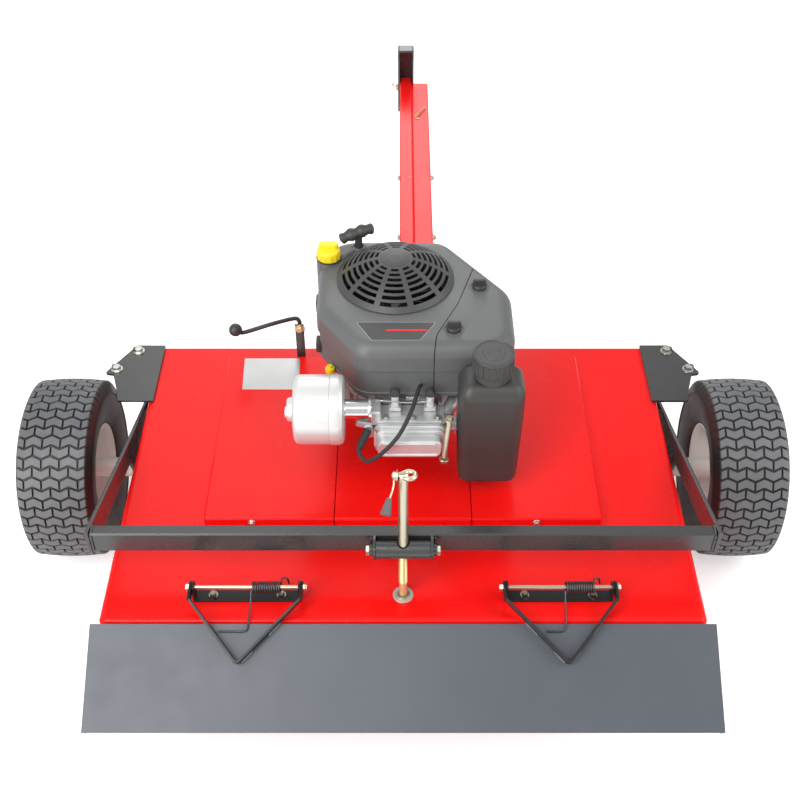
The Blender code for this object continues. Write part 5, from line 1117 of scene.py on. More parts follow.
def build_lever():
    """The bent rod with its ball, and the brass-coloured bolt on the bracket's rear face."""
    x, y, top = LEVER
    left, rear = x - 0.14, y - 0.05
    path = smooth_path([
        (x, y, 0.0008), (x, y, top * 0.5), (x, y, top - 0.014), (x - 0.0035, y + 0.001, top - 0.004),
        (x - 0.014, y, top), (x - 0.06, y - 0.02, top + 0.001), (left + 0.022, rear + 0.01, top - 0.006),
        (left + 0.008, rear + 0.004, top - 0.002), (left, rear, top + 0.008),
    ], 0.005)
    lever = tube("clutch_rod", "black_paint", "lever", path, LEVER_RADIUS, 18)
    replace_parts(lever, "clutch_lever")
    bm = bmesh.new()
    bottom = -math.acos(0.3)
    angles = np.linspace(bottom, math.pi / 2, 14)
    profile = [(BALL_RADIUS * math.cos(a), BALL_RADIUS * math.sin(a)) for a in angles]
    way = (path[-1] - path[-3]).normalized()
    lathe(bm, (left, rear, top + 0.008), way, [(0, profile[0][1]), *profile[:-1], (0, BALL_RADIUS)], 28)
    ball = finished(bm, "clutch_ball", "tank_plastic", "lever", slot="black_paint")
    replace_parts(ball, "clutch_lever")
    bm = bmesh.new()
    low, high = span("lever_bracket")
    hex_head(bm, (x, low.y - 0.0001, high.z - 0.01), (0, -1, 0), 0.0078, 0.006)
    finished(bm, "lever_bolt", "zinc_plate", "deck")


# Engine

CRANK_X = -0.0155
CRANK_Y = 0.602
HOUSING_TOP = 0.362
HOUSING_BOTTOM = 0.236
HOUSING_ROUND = 0.028
HOUSING_STEP = 0.301
HOUSING_SHELL = 0.003
SEAM_HALF = 0.0009
GRILLE_RADIUS = 0.1215
GRILLE_RISE = 0.052
GRILLE_CAP = 0.036
GRILLE_SPOKES = 10
GRILLE_SLOTS = 7
GRILLE_WALL = 0.0036
GRILLE_TURN = math.radians(-6.0)
HEAD_X = 0.0155
HEAD_REAR = 0.318
HEAD_TOP = 0.224
BRACKETS_X = (-0.016, 0.054)
DIPSTICK = Vector((-0.156, 0.668, 0.0))
KNOBS = ((0.157, 0.572), (0.1, 0.437))
STARTER = Vector((-0.094, 0.708, 0.0))


def housing_outline():
    return rounded([
        (-0.176, 0.505, 0.05), (-0.088, 0.378, 0.05), (0.222, 0.378, 0.06), (0.222, 0.562, 0.07),
        (0.088, 0.745, 0.06), (-0.176, 0.745, 0.08),
    ], 12)


def housing_shell(name):
    """The engine's rounded outer form, open underneath, as an object of its own."""
    low, step = HOUSING_BOTTOM, HOUSING_STEP
    layers = [
        (0.003, low), (0.0018, low + 0.0006), (0.0018, low + 0.0065), (0.0042, low + 0.008),
        (0.0042, step - 0.003), (0.0034, step - 0.0012), (0.0008, step), (0.0, step + 0.0016),
    ]
    for a in quarter(9):
        layers.append((HOUSING_ROUND * (1 - math.cos(a)), HOUSING_TOP - HOUSING_ROUND * (1 - math.sin(a))))
    layers.append((HOUSING_ROUND + 0.004, HOUSING_TOP))
    bm = bmesh.new()
    bm.faces.new(stacked(bm, housing_outline(), layers)[-1])
    return thickened(bm, name, HOUSING_SHELL)


def solid_of(build):
    """A closed mesh object for a boolean, from a function that fills a bmesh."""
    bm = bmesh.new()
    build(bm)
    bmesh.ops.recalc_face_normals(bm, faces=bm.faces)
    return object_of(bm, "solid")


def seam_region(gap):
    """The part of the engine's outline that belongs to the air cleaner cover."""
    line = [(0.15, 0.8), (0.154, 0.66), (0.112, 0.52), (0.066, 0.42), (0.056, 0.34)]
    outline = [(x + gap, y) for x, y in corner_rounded(line, 0.012, 5)]
    outline += [(0.3, 0.34), (0.3, 0.8)]
    return solid_of(lambda bm: prism(bm, outline, 0.2, 0.4))


def as_piece(obj, name, look, body, smooth=34.0):
    """Takes a mesh object in the deck's frame as a finished piece."""
    bm = taken(obj)
    bmesh.ops.remove_doubles(bm, verts=bm.verts, dist=0.00001)
    return finished(bm, name, look, body, smooth=smooth)


def disc(x, y, low, high, radius, sides=72):
    return solid_of(lambda bm: prism(bm, arc((x, y), radius, 0, 360 - 360 / sides, sides), low, high))


def build_housing():
    """The blower housing with its oil tower, and the air cleaner cover beside it."""
    housing = housing_shell("housing")
    boolean(housing, seam_region(-SEAM_HALF), "DIFFERENCE")
    boolean(housing, disc(CRANK_X, CRANK_Y, 0.33, 0.4, GRILLE_RADIUS - 0.004), "DIFFERENCE")
    x, y = DIPSTICK.x, DIPSTICK.y
    tower = [
        (0.0138, HOUSING_BOTTOM + 0.02), (0.0262, HOUSING_BOTTOM + 0.02),
        (0.0262, HOUSING_TOP - 0.012), (0.0262, HOUSING_TOP - 0.006), (0.0256, HOUSING_TOP - 0.001),
        (0.0248, HOUSING_TOP + 0.0032), (0.024, HOUSING_TOP + 0.004), (0.0138, HOUSING_TOP + 0.004),
    ]
    boolean(housing, disc(x, y, HOUSING_BOTTOM - 0.01, 0.4, 0.021, 48), "DIFFERENCE")
    boolean(housing, solid_of(lambda bm: lathe(bm, (x, y, 0), UP, tower, 48, True)), "UNION")
    boolean(housing, disc(STARTER.x, STARTER.y, 0.33, 0.4, 0.004, 20), "DIFFERENCE")
    piece = as_piece(housing, "blower_housing_form", "shroud_plastic", "deck")
    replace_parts(piece, "blower_housing")

    cover = housing_shell("cover")
    boolean(cover, seam_region(SEAM_HALF), "INTERSECT")
    boolean(cover, disc(CRANK_X, CRANK_Y, 0.33, 0.4, GRILLE_RADIUS + 0.004), "DIFFERENCE")
    for x, y in KNOBS:
        boolean(cover, disc(x, y, 0.33, 0.4, 0.0058, 20), "DIFFERENCE")
    piece = as_piece(cover, "air_cleaner_cover_form", "shroud_plastic", "deck")
    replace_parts(piece, "air_cleaner_cover")


def build_knobs():
    """The cover's quarter-turn knobs, each with its wing, in a raised ring."""
    for (x, y), word in zip(KNOBS, ("front", "rear")):
        top = HOUSING_TOP + GAP
        bm = bmesh.new()
        lathe(bm, (x, y, 0), UP, [
            (0, top - 0.012), (0.005, top - 0.012), (0.005, top), (0.015, top), (0.0152, top + 0.003),
            (0.0146, top + 0.0062), (0.0132, top + 0.0078), (0, top + 0.0082),
        ], 32)
        outline = slab_outline(0.027, 0.0078, 0.0034, x, y)
        prism(bm, outline, top + 0.005, top + 0.019, edge=0.0014)
        knob = finished(bm, f"cover_knob_{word}_form", "tank_plastic", f"knob_{word}")
        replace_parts(knob, f"cover_knob_{word}")
        turned(f"knob_ring_{word}", "shroud_plastic", "deck", (x, y, HOUSING_TOP), UP, [
            (0.018, -0.0005), (0.0206, -0.0005), (0.0204, 0.0007), (0.0193, 0.0011), (0.0182, 0.0007),
        ], 40, True)


def dome(radius):
    share = radius / GRILLE_RADIUS
    return GRILLE_RISE * (1.0 - share**2.2)


def build_grille():
    """The domed fan guard: ten spokes with seven curved slots between each two."""
    radii = [0.012, 0.024, GRILLE_CAP - 0.0028, GRILLE_CAP - 0.0012, GRILLE_CAP]
    caps = len(radii) - 1
    step = (GRILLE_RADIUS - 0.0055 - GRILLE_CAP) / GRILLE_SLOTS
    for i in range(GRILLE_SLOTS):
        radii += [GRILLE_CAP + step * (i + 0.56), GRILLE_CAP + step * (i + 1)]
    radii += [GRILLE_RADIUS - 0.0025, GRILLE_RADIUS]
    inside = 6
    bm = bmesh.new()
    hub = bm.verts.new((0.0, 0.0, dome(0.0) - 0.0004))
    rings = []
    for radius in radii:
        ring = []
        width = 0.0034 + 0.026 * radius
        lean = math.asin(min(0.9, width / radius)) if radius > GRILLE_CAP / 2 else 0.12
        for spoke in range(GRILLE_SPOKES):
            base = TURN / GRILLE_SPOKES * (spoke + 0.12) + GRILLE_TURN
            opening = TURN / GRILLE_SPOKES - 2 * lean
            angles = [base - lean, base + lean]
            angles += [base + lean + opening * k / inside for k in range(1, inside)]
            height = dome(radius) - (0.0004 if radius < GRILLE_CAP - 0.002 else 0.0)
            ring += [bm.verts.new((radius * math.cos(a), radius * math.sin(a), height)) for a in angles]
        rings.append(ring)
    count = len(rings[0])
    columns = inside + 1
    for i in range(count):
        bm.faces.new((hub, rings[0][i], rings[0][(i + 1) % count]))
    for band, (near, far) in enumerate(zip(rings, rings[1:])):
        slot_band = caps <= band < len(rings) - 3 and (band - caps) % 2 == 0
        for i in range(count):
            j = (i + 1) % count
            if slot_band and i % columns >= 1:
                continue
            bm.faces.new((near[i], near[j], far[j], far[i]))
    bm = taken(thickened(bm, "grille", GRILLE_WALL))
    bm.transform(Matrix.Translation((CRANK_X, CRANK_Y, HOUSING_TOP + 0.0026)))
    soften(bm, 0.0005, 1, 50.0)
    grille = finished(bm, "fan_grille_form", "grille_plastic", "deck", smooth=30.0)
    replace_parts(grille, "fan_grille")

    turned("grille_badge_blank", "tank_plastic", "deck", (CRANK_X, CRANK_Y, HOUSING_TOP), UP, [
        (0.0, dome(0.0) + 0.0028), (GRILLE_CAP - 0.0062, dome(GRILLE_CAP - 0.006) + 0.0028),
        (GRILLE_CAP - 0.0048, dome(GRILLE_CAP - 0.0048) + 0.002),
        (GRILLE_CAP - 0.0048, dome(GRILLE_CAP) + 0.0006), (0.0, dome(0.0) - 0.0004),
    ], 48, slot="shroud_plastic")
    # A near-black sheet across the housing's bottom: painted shade seen through the grille's slots.
    bm = bmesh.new()
    prism(bm, inset(housing_outline(), 0.008), 0.2385, 0.241)
    finished(bm, "fan_painted_shade_sheet", "fan_black_and_painted_shade", "deck")


def build_label_plate():
    """A blank trapezoid plate on the housing with a pale edge and one red band."""
    outline = rounded([
        (-0.062, 0.403, 0.004), (0.033, 0.403, 0.004), (0.066, 0.458, 0.003),
        (-0.093, 0.458, 0.003),
    ], 5)
    top = HOUSING_TOP
    for name, depth, lift, look in (
        ("plate_edge", 0.0, 0.0004, "plate_silver"), ("plate_face", 0.0008, 0.0006, "plate_dark"),
    ):
        bm = bmesh.new()
        prism(bm, inset(outline, depth), top - 0.0002, top + lift)
        finished(bm, name, look, "deck", slot="shroud_plastic")
    bm = bmesh.new()
    prism(bm, [(-0.034, 0.431), (0.047, 0.431), (0.0492, 0.435), (-0.034, 0.435)], top, top + 0.0008)
    finished(bm, "plate_band", "red_paint", "deck")


def build_starter():
    """The pull handle: a T grip with finger hollows, its stem and the rope's guide on the housing."""
    x, y = STARTER.x, STARTER.y
    top = HOUSING_TOP + 0.041
    turn = Matrix.Rotation(math.radians(20.0), 4, "Z") @ Matrix.Rotation(math.radians(-9.0), 4, "Y")
    place = Matrix.Translation((x, y, top)) @ turn
    bm = bmesh.new()
    half = 0.0385
    points, radii = [], []
    for i in range(33):
        t = -1.0 + 2.0 * i / 32
        points.append(place @ Vector((half * t - 0.004, 0.0, -0.004 * t * t)))
        end = math.sqrt(max(0.0, 1.0 - abs(t) ** 9))
        radii.append(max(0.002, (0.0125 - 0.0019 * math.cos(3.2 * math.pi * t)) * end))
    swept(bm, points, radii, 20, 0.92)
    lathe(bm, (x, y, HOUSING_TOP + GAP), UP, [
        (0, 0), (0.0088, 0), (0.0092, 0.002), (0.008, 0.012), (0.0078, 0.03), (0.0088, 0.038), (0, 0.04),
    ], 24)
    handle = finished(bm, "starter_handle_form", "tank_plastic", "pull_handle", smooth=50.0)
    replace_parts(handle, "starter_handle")

    inside, outside = Vector((x, y, HOUSING_TOP - 0.02)), Vector((x, y, HOUSING_TOP + 0.003))
    points = [inside.lerp(outside, i / 24) for i in range(25)]
    rope = tube("starter_rope", "belt_rubber", None, points, 0.0023, 14)
    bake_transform(rope)

    bm = bmesh.new()
    guide = []
    for a in np.radians(np.linspace(124.0, 152.0, 10)):
        r = GRILLE_RADIUS + 0.0095
        guide.append((CRANK_X + r * math.cos(a), CRANK_Y + r * math.sin(a), HOUSING_TOP + 0.001))
    swept(bm, guide, [0.0052 * s for s in (0.7, 0.9, 1, 1, 1, 1, 1, 0.95, 0.85, 0.6)], 14, 0.9, UP)
    lathe(bm, (x, y, HOUSING_TOP - 0.0005), UP, [
        (0.01, 0), (0.0158, 0), (0.0152, 0.0042), (0.0136, 0.006), (0.0108, 0.006), (0.01, 0.005),
    ], 32, True)
    finished(bm, "rope_guide", "shroud_plastic", "deck")


def build_dipstick():
    """The yellow oil cap with its bar grip, and the stick below it."""
    x, y = DIPSTICK.x, DIPSTICK.y
    rest = HOUSING_TOP + 0.0043
    bm = bmesh.new()
    lathe(bm, (x, y, 0), UP, [
        (0, 0.262), (0.003, 0.262), (0.0042, rest - 0.004), (0.0042, rest), (0.0235, rest),
        (0.0245, rest + 0.0015), (0.0245, rest + 0.0165), (0.0238, rest + 0.0205),
        (0.0215, rest + 0.0235), (0.016, rest + 0.025), (0, rest + 0.0255),
    ], 40)
    prism(bm, slab_outline(0.041, 0.019, 0.0085, x, y + 0.001, 8), rest + 0.02, rest + 0.036, edge=0.003)
    for k in range(14):
        a = TURN * k / 14
        spot = around((x, y, rest), 0.0243, a, 0.009)
        block(bm, (0.0024, 0.0026, 0.014), spot, Matrix.Rotation(a, 4, "Z"), 0.0006, 1)
    cap = finished(bm, "dipstick_cap_form", "yellow_plastic", "oil_cap")
    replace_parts(cap, "dipstick_cap")
    turned("dipstick_seal", "tank_plastic", "deck", (x, y, HOUSING_TOP), UP, [
        (0.0225, 0.003), (0.0262, 0.003), (0.0266, 0.004), (0.0266, 0.0062), (0.0256, 0.007),
        (0.0252, 0.007), (0.0252, 0.0041), (0.0225, 0.0041),
    ], 40, True)


TANK = Vector((0.171, 0.328, 0.0))
TANK_BOTTOM = 0.076
TANK_TOP = 0.338


def build_tank():
    """The blow-moulded fuel tank with rounded shoulders, and the ribbed cap."""
    outline = slab_outline(0.128, 0.094, 0.026, TANK.x, TANK.y, 10)
    low_round, high_round = 0.018, 0.03
    layers = []
    for a in quarter(8):
        layers.append((low_round * (1 - math.sin(a)) + 0.004, TANK_BOTTOM + low_round * (1 - math.cos(a))))
    layers += [(0.0032, 0.12), (0.0014, 0.18), (0.0002, 0.24), (0.0, 0.29)]
    for a in quarter(8):
        layers.append((high_round * 0.78 * (1 - math.cos(a)), TANK_TOP - high_round * (1 - math.sin(a))))
    tank = solid_of(lambda b: capped(b, stacked(b, outline, layers)))
    neck = [
        (0.0242, TANK_TOP - 0.02), (0.034, TANK_TOP - 0.004), (0.033, TANK_TOP + 0.0006),
        (0.03, TANK_TOP + 0.0014), (0.0292, TANK_TOP + 0.01), (0.029, TANK_TOP + 0.0215),
        (0.0283, TANK_TOP + 0.022), (0.0242, TANK_TOP + 0.022),
    ]
    boolean(tank, disc(TANK.x, TANK.y, TANK_TOP - 0.012, TANK_TOP + 0.03, 0.0262, 48), "DIFFERENCE")
    boolean(tank, solid_of(lambda b: lathe(b, (TANK.x, TANK.y, 0), UP, neck, 48, True)), "UNION")
    piece = as_piece(tank, "fuel_tank_form", "tank_plastic", "deck", smooth=42.0)
    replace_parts(piece, "fuel_tank")

    bm = bmesh.new()
    skirt = TANK_TOP + 0.0022
    top = skirt + 0.056
    lathe(bm, (TANK.x, TANK.y, 0), UP, [
        (0.0, TANK_TOP + 0.0224), (0.0316, TANK_TOP + 0.0224), (0.0316, skirt), (0.0352, skirt),
        (0.0358, skirt + 0.001), (0.0352, skirt + 0.014), (0.0366, skirt + 0.0165),
        (0.0382, skirt + 0.018), (0.0386, skirt + 0.02), (0.0386, top - 0.008),
        (0.04, top - 0.0065), (0.04, top - 0.003), (0.0392, top - 0.0008), (0.0375, top),
        (0.0355, top), (0.0345, top - 0.0014), (0.0215, top - 0.0014), (0.0205, top - 0.0004),
        (0.012, top - 0.0004), (0.011, top - 0.0012), (0.0, top - 0.0012),
    ], 64)
    for k in range(20):
        a = TURN * k / 20
        spot = around(TANK, 0.0385, a, skirt + 0.0335)
        block(bm, (0.0034, 0.0056, 0.026), spot, Matrix.Rotation(a, 4, "Z"), 0.001, 2)
    cap = finished(bm, "fuel_cap_form", "grille_plastic", "tank_cap", smooth=34.0)
    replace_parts(cap, "fuel_cap")


MUFFLER = Vector((-0.165, 0.332, 0.244))
PIPE_RADIUS = 0.02


def build_muffler():
    """The muffler can with its rolled seam, its outlet, and the bright exhaust pipe with its flange."""
    left, right, r = -0.05, 0.05, 0.07
    seam = 0.0225
    can = turned("muffler_can", "muffler_steel", "deck", MUFFLER, (1, 0, 0), [
        (0, left - 0.013), (0.0215, left - 0.013), (0.0232, left - 0.011), (0.025, left - 0.001),
        (0.029, left + 0.0004), (0.056, left + 0.001), (0.0612, left + 0.002),
        (0.0656, left + 0.0046), (0.068, left + 0.0088), (0.0688, left + 0.014),
        (0.069, left + 0.02), (0.069, seam - 0.0012), (0.0676, seam - 0.0004),
        (0.0676, seam + 0.0002), (0.0696, seam + 0.001), (r, seam + 0.0026), (r, right - 0.013),
        (0.069, right - 0.007), (0.066, right - 0.0026), (0.06, right - 0.0006), (0.04, right),
        (0.0225, right), (0.0215, right - 0.001), (0, right - 0.001),
    ], 72, smooth=32.0)
    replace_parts(can, "muffler")

    bm = bmesh.new()
    start = MUFFLER.x + right - 0.0008
    flange = -0.0608
    length = flange - start
    lathe(bm, (start, MUFFLER.y, MUFFLER.z), (1, 0, 0), [
        (0, 0), (0.0222, 0), (0.0222, 0.0016), (PIPE_RADIUS, 0.003), (PIPE_RADIUS, length - 0.008),
        (0.021, length - 0.0066), (0.0252, length - 0.0062), (0.0258, length - 0.0054),
        (0.0258, length - 0.0012), (0.025, length - 0.0004), (0, length - 0.0004),
    ], 48)
    finished(bm, "exhaust_pipe", "chromed_steel", "deck")

    bm = bmesh.new()
    face = MUFFLER.x + left - 0.0132
    lathe(bm, (face, MUFFLER.y - 0.002, MUFFLER.z - 0.006), (-1, 0, 0), [
        (0.0088, 0), (0.011, 0), (0.011, 0.004), (0.0104, 0.0046), (0.0094, 0.0046), (0.0088, 0.004),
    ], 28, True)
    finished(bm, "muffler_outlet_ring", "muffler_steel", "deck")
    # A near-black disc in the outlet ring's opening: painted shade inside the pipe.
    outlet = (face, MUFFLER.y - 0.002, MUFFLER.z - 0.006)
    turned("muffler_outlet_painted_shade", "belt_rubber", "deck", outlet, (-1, 0, 0), [
        (0, 0.0001), (0.0087, 0.0001), (0.0087, 0.0012), (0, 0.0012),
    ], 24, slot="cast_aluminium")


def build_valve_cover():
    """The bare valve cover: a flange, a ribbed bulge and four bolts."""
    rear = HEAD_REAR - GAP
    upright = Matrix(((1, 0, 0, 0), (0, 0, -1, 0), (0, 1, 0, 0), (0, 0, 0, 1)))
    low, high = 0.153, HEAD_TOP - 0.002
    width = 0.146
    base = rounded([
        (HEAD_X - width / 2, low, 0.014), (HEAD_X + width / 2, low, 0.014),
        (HEAD_X + width / 2, high, 0.02), (HEAD_X - width / 2, high, 0.02),
    ], 8)
    bulge = rounded([
        (HEAD_X - width / 2 + 0.008, low + 0.012, 0.014),
        (HEAD_X + width / 2 - 0.014, low + 0.012, 0.014),
        (HEAD_X + width / 2 - 0.01, high - 0.012, 0.016),
        (HEAD_X - width / 2 + 0.006, high - 0.012, 0.016),
    ], 8)
    place = Matrix.Translation((0.0, rear, 0.0)) @ upright
    bm = bmesh.new()
    prism(bm, base, 0.0, 0.011, place, 0.0022)
    prism(bm, inset(base, 0.0045), 0.01, 0.019, place, 0.0022)
    prism(bm, bulge, 0.016, 0.043, place, 0.006)
    for z, reach, depth in ((0.204, 0.104, 0.0436), (0.174, 0.112, 0.0436)):
        block(bm, (reach, 0.004, 0.0042), (HEAD_X - 0.003, rear - depth, z), None, 0.0016)
    cover = finished(bm, "valve_cover_form", "cast_aluminium", "deck", smooth=38.0)
    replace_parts(cover, "valve_cover")
    places = [(x, rear - 0.0111, z) for x, z in (
        (-0.049, 0.162), (0.08, 0.162), (-0.048, HEAD_TOP - 0.012), (0.079, HEAD_TOP - 0.012),
    )]
    bolts("valve_cover_bolts", "bright_zinc", "deck", places, (0, -1, 0), 0.0052, 0.0056)


def build_head():
    """The cylinder head: a core with thin cooling fins, the port to the exhaust and the tank's bracket."""
    depth = 0.054
    y = HEAD_REAR + depth / 2
    bm = bmesh.new()
    block(bm, (0.118, depth, 0.036), (HEAD_X, y, 0.178), None, 0.003)
    block(bm, (0.124, 0.02, HEAD_TOP - 0.16), (HEAD_X, HEAD_REAR + 0.01, (HEAD_TOP + 0.16) / 2), None, 0.0024)
    for x in BRACKETS_X:
        block(bm, (0.028, 0.04, HEAD_TOP - 0.19), (x, HEAD_REAR + 0.023, (HEAD_TOP + 0.188) / 2), None, 0.003)
    count = 8
    for i in range(count):
        z = 0.161 + 0.061 * i / (count - 1)
        wide = 0.148 if z < 0.2 else 0.134
        block(bm, (wide, depth - 0.002, 0.0024), (HEAD_X, y, z - 0.004), None, 0.0009)
    block(bm, (0.02, 0.042, 0.036), (-0.054, y - 0.002, 0.226), None, 0.004, 3)
    block(bm, (0.024, 0.034, 0.006), (0.098, 0.34, 0.198), None, 0.0016)
    block(bm, (0.004, 0.034, 0.03), (0.105, 0.34, 0.2), None, 0.0014)
    head = finished(bm, "cylinder_head_fins", "cast_aluminium", "deck")
    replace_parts(head, "cylinder_head")
    places = [(x, HEAD_REAR + 0.0105, HEAD_TOP + GAP) for x in (-0.034, 0.019, 0.068)]
    bolts("head_bolts", "bright_zinc", "deck", places, UP, 0.0056, 0.0052)


CASE_RING = 0.108
LUG_RING = CASE_RING + 0.005
FOOT_RING = 0.1185
HALF_RIB = math.radians(12.0)


def build_crankcase_details():
    """Ribs, the sump's joint with its bolts, the oil filler tube, the drain plug and the carburettor."""
    low = span("crankcase")[0].z
    seam = low + 0.058
    centre = Vector((CRANK_X, CRANK_Y, 0.0))
    ribs = [math.radians(a) for a in range(-30, 211, 24)]
    bm = bmesh.new()
    for angle in ribs:
        turn = Matrix.Rotation(angle, 4, "Z")
        lower = around(centre, CASE_RING + 0.001, angle, (seam + low + 0.012) / 2)
        block(bm, (0.018, 0.0046, seam - low - 0.013), lower, turn, 0.0014)
        upper = around(centre, CASE_RING - 0.001, angle, seam + 0.034)
        block(bm, (0.011, 0.004, 0.06), upper, turn, 0.0014)
    lathe(bm, centre + Vector((0, 0, seam)), UP, [
        (CASE_RING - 0.004, -0.006), (CASE_RING + 0.0072, -0.006), (CASE_RING + 0.008, -0.005),
        (CASE_RING + 0.008, -0.0006), (CASE_RING + 0.0072, 0.0), (CASE_RING + 0.008, 0.0006),
        (CASE_RING + 0.008, 0.005), (CASE_RING + 0.0072, 0.006), (CASE_RING - 0.004, 0.006),
    ], 96, True)
    for angle in ribs:
        lathe(bm, around(centre, LUG_RING, angle + HALF_RIB, seam - 0.012), UP, [
            (0, 0), (0.007, 0), (0.0078, 0.001), (0.0078, 0.021), (0.007, 0.022), (0, 0.022),
        ], 20)
    foot = centre + Vector((-0.076, 0.06, low + 0.034))
    filler = smooth_path([
        foot, foot + Vector((-0.03, 0.004, 0.014)), (DIPSTICK.x, DIPSTICK.y, low + 0.095),
        (DIPSTICK.x, DIPSTICK.y, HOUSING_BOTTOM + 0.002),
    ], 0.006)
    swept(bm, filler, 0.0125, 24)
    finished(bm, "crankcase_casting", "engine_grey", "deck")

    bm = bmesh.new()
    for angle in ribs[:-1]:
        hex_head(bm, around(centre, LUG_RING, angle + HALF_RIB, seam + 0.0102), UP, 0.005, 0.0048)
    for angle in range(0, 360, 60):
        hex_head(bm, around(centre, FOOT_RING, math.radians(angle + 24), low + 0.0101), UP, 0.0062, 0.0064)
    plug = centre + Vector((-0.056, 0.096, low + 0.03))
    hex_head(bm, plug, (-0.5, 0.87, 0.0), 0.0085, 0.011)
    finished(bm, "crankcase_bolts", "bright_zinc", "deck")

    bm = bmesh.new()
    block(bm, (0.04, 0.046, 0.046), (0.115, 0.525, 0.208), None, 0.005, 3)
    swept(bm, smooth_path([
        (0.112, 0.515, 0.208), (0.112, 0.47, 0.208), (0.108, 0.42, 0.206), (0.094, 0.38, 0.204),
        (0.08, 0.36, 0.2),
    ], 0.006), 0.0135, 24)
    lathe(bm, (0.115, 0.525, 0.188), (0, 0, -1), [
        (0, 0), (0.0185, 0), (0.019, 0.001), (0.019, 0.004), (0.0165, 0.0052), (0.0165, 0.024),
        (0.014, 0.03), (0, 0.032),
    ], 40)
    finished(bm, "carburettor", "cast_aluminium", "deck")
    bm = bmesh.new()
    hex_head(bm, (0.115, 0.525, 0.1561), (0, 0, -1), 0.005, 0.005)
    swept(bm, smooth_path([
        (0.128, 0.549, 0.216), (0.12, 0.562, 0.219), (0.1, 0.6, 0.221), (0.096, 0.64, 0.222),
    ], 0.008), 0.0013, 10)
    finished(bm, "carburettor_linkage", "bright_zinc", "deck")


def build_head_brackets():
    """The two brackets on the cylinder head, with their caps."""
    bm = bmesh.new()
    for x in BRACKETS_X:
        block(bm, (0.015, 0.012, 0.036), (x, 0.356, 0.242), None, 0.0022)
        block(bm, (0.024, 0.016, 0.01), (x, 0.354, HEAD_TOP + 0.0052), None, 0.0022)
        lathe(bm, (x, 0.3498, 0.248), (0, -1, 0), [
            (0, 0), (0.0062, 0), (0.0062, 0.0016), (0.004, 0.0022), (0.004, 0.004), (0, 0.0042),
        ], 20)
    finished(bm, "head_brackets", "cast_aluminium", "deck")
    bm = bmesh.new()
    for x in BRACKETS_X:
        lathe(bm, (x, 0.364, 0.266), (0, -1, 0), [
            (0, 0), (0.0096, 0), (0.01, 0.0012), (0.01, 0.012), (0.0088, 0.0136), (0, 0.014),
        ], 28)
    finished(bm, "bracket_caps", "tank_plastic", "deck")


def build_governor():
    """The governor's rod and its small spring."""
    bm = bmesh.new()
    swept(bm, smooth_path([
        (-0.052, 0.348, 0.252), (-0.04, 0.344, 0.256), (-0.022, 0.346, 0.252), (0.01, 0.346, 0.249),
        (0.046, 0.346, 0.252),
    ], 0.004), 0.0014, 10)
    coil = []
    for i in range(12 * 7 + 1):
        a = TURN * i / 12
        coil.append((0.006 + 0.0003 * i, 0.35 + 0.0038 * math.cos(a), 0.258 + 0.0038 * math.sin(a)))
    swept(bm, coil, 0.0007, 8)
    finished(bm, "governor_links", "bright_zinc", "deck")


def build_breather():
    bm = bmesh.new()
    top = Vector((0.0905, 0.296, 0.25))
    low = Vector((0.081, 0.272, 0.17))
    rod(bm, top, low, 0.0052, 20, 0.001)
    hex_head(bm, low + Vector((0.0, -0.002, -0.002)), (low - top).normalized(), 0.0075, 0.007)
    hex_head(bm, top + Vector((0.0, 0.0, 0.001)), UP, 0.0072, 0.0055)
    block(bm, (0.012, 0.02, 0.009), (0.088, 0.308, 0.242), None, 0.002)
    finished(bm, "breather_tube", "pale_zinc", "deck")


def build_plug():
    """The spark plug's shield and its rubber boot."""
    bm = bmesh.new()
    block(bm, (0.03, 0.024, 0.018), (-0.079, 0.336, 0.208), Matrix.Rotation(0.3, 4, "Y"), 0.004, 2)
    block(bm, (0.018, 0.02, 0.032), (-0.066, 0.33, 0.192), Matrix.Rotation(-0.25, 4, "Y"), 0.003, 2)
    lathe(bm, (-0.086, 0.334, 0.206), (-0.9, -0.3, 0.1), [
        (0, 0), (0.0062, 0), (0.0062, 0.006), (0.004, 0.008), (0, 0.008),
    ], 18)
    finished(bm, "plug_shield", "cast_aluminium", "deck")
    bm = bmesh.new()
    boot_low = Vector((-0.087, 0.288, 0.18))
    boot_high = Vector((-0.07, 0.318, 0.201))
    way = (boot_high - boot_low).normalized()
    length = (boot_high - boot_low).length
    lathe(bm, boot_low, way, [
        (0, 0), (0.006, 0), (0.0072, 0.002), (0.0078, length * 0.5), (0.0084, length - 0.002),
        (0.0076, length), (0, length),
    ], 24)
    finished(bm, "plug_boot", "belt_rubber", "deck", slot="tank_plastic")


def build_engine_outside():
    """The engine's hold-down bolts, the oil drain with its cap, and the housing's clips."""
    shaft = (CRANK_X, CRANK_Y, 0.0)
    angles = [math.radians(angle) for angle in (45, 135, 225, 315)]
    places = [around(shaft, FOOT_RING, angle, 0.0556) for angle in angles]
    bolts("engine_bolts", "bright_zinc", "deck", places, UP, 0.0078, 0.0065)

    bm = bmesh.new()
    x, y, z = -0.149, 0.454, 0.234
    lathe(bm, (x, y, z), UP, [
        (0, 0), (0.009, 0), (0.01, 0.002), (0.01, 0.011), (0.0085, 0.013), (0.005, 0.013),
        (0.0046, 0.018), (0, 0.018),
    ], 24)
    finished(bm, "drain_cap", "yellow_plastic", "deck")
    tube("drain_hose", "belt_rubber", "deck", smooth_path([
        (x, y + 0.003, z + 0.001), (x + 0.01, y + 0.03, z - 0.02), (x + 0.03, y + 0.07, z - 0.06),
    ], 0.006), 0.0055, 14, slot="tank_plastic")

    bm = bmesh.new()
    block(bm, (0.012, 0.03, 0.024), (-0.174, 0.517, 0.256), None, 0.003)
    block(bm, (0.008, 0.03, 0.028), (-0.1775, 0.59, 0.305), None, 0.0024)
    block(bm, (0.005, 0.016, 0.016), (0.2235, 0.515, 0.29), None, 0.0016)
    finished(bm, "housing_clips", "tank_plastic", "deck")


# CAD nodes kept in shape, with rounded edges

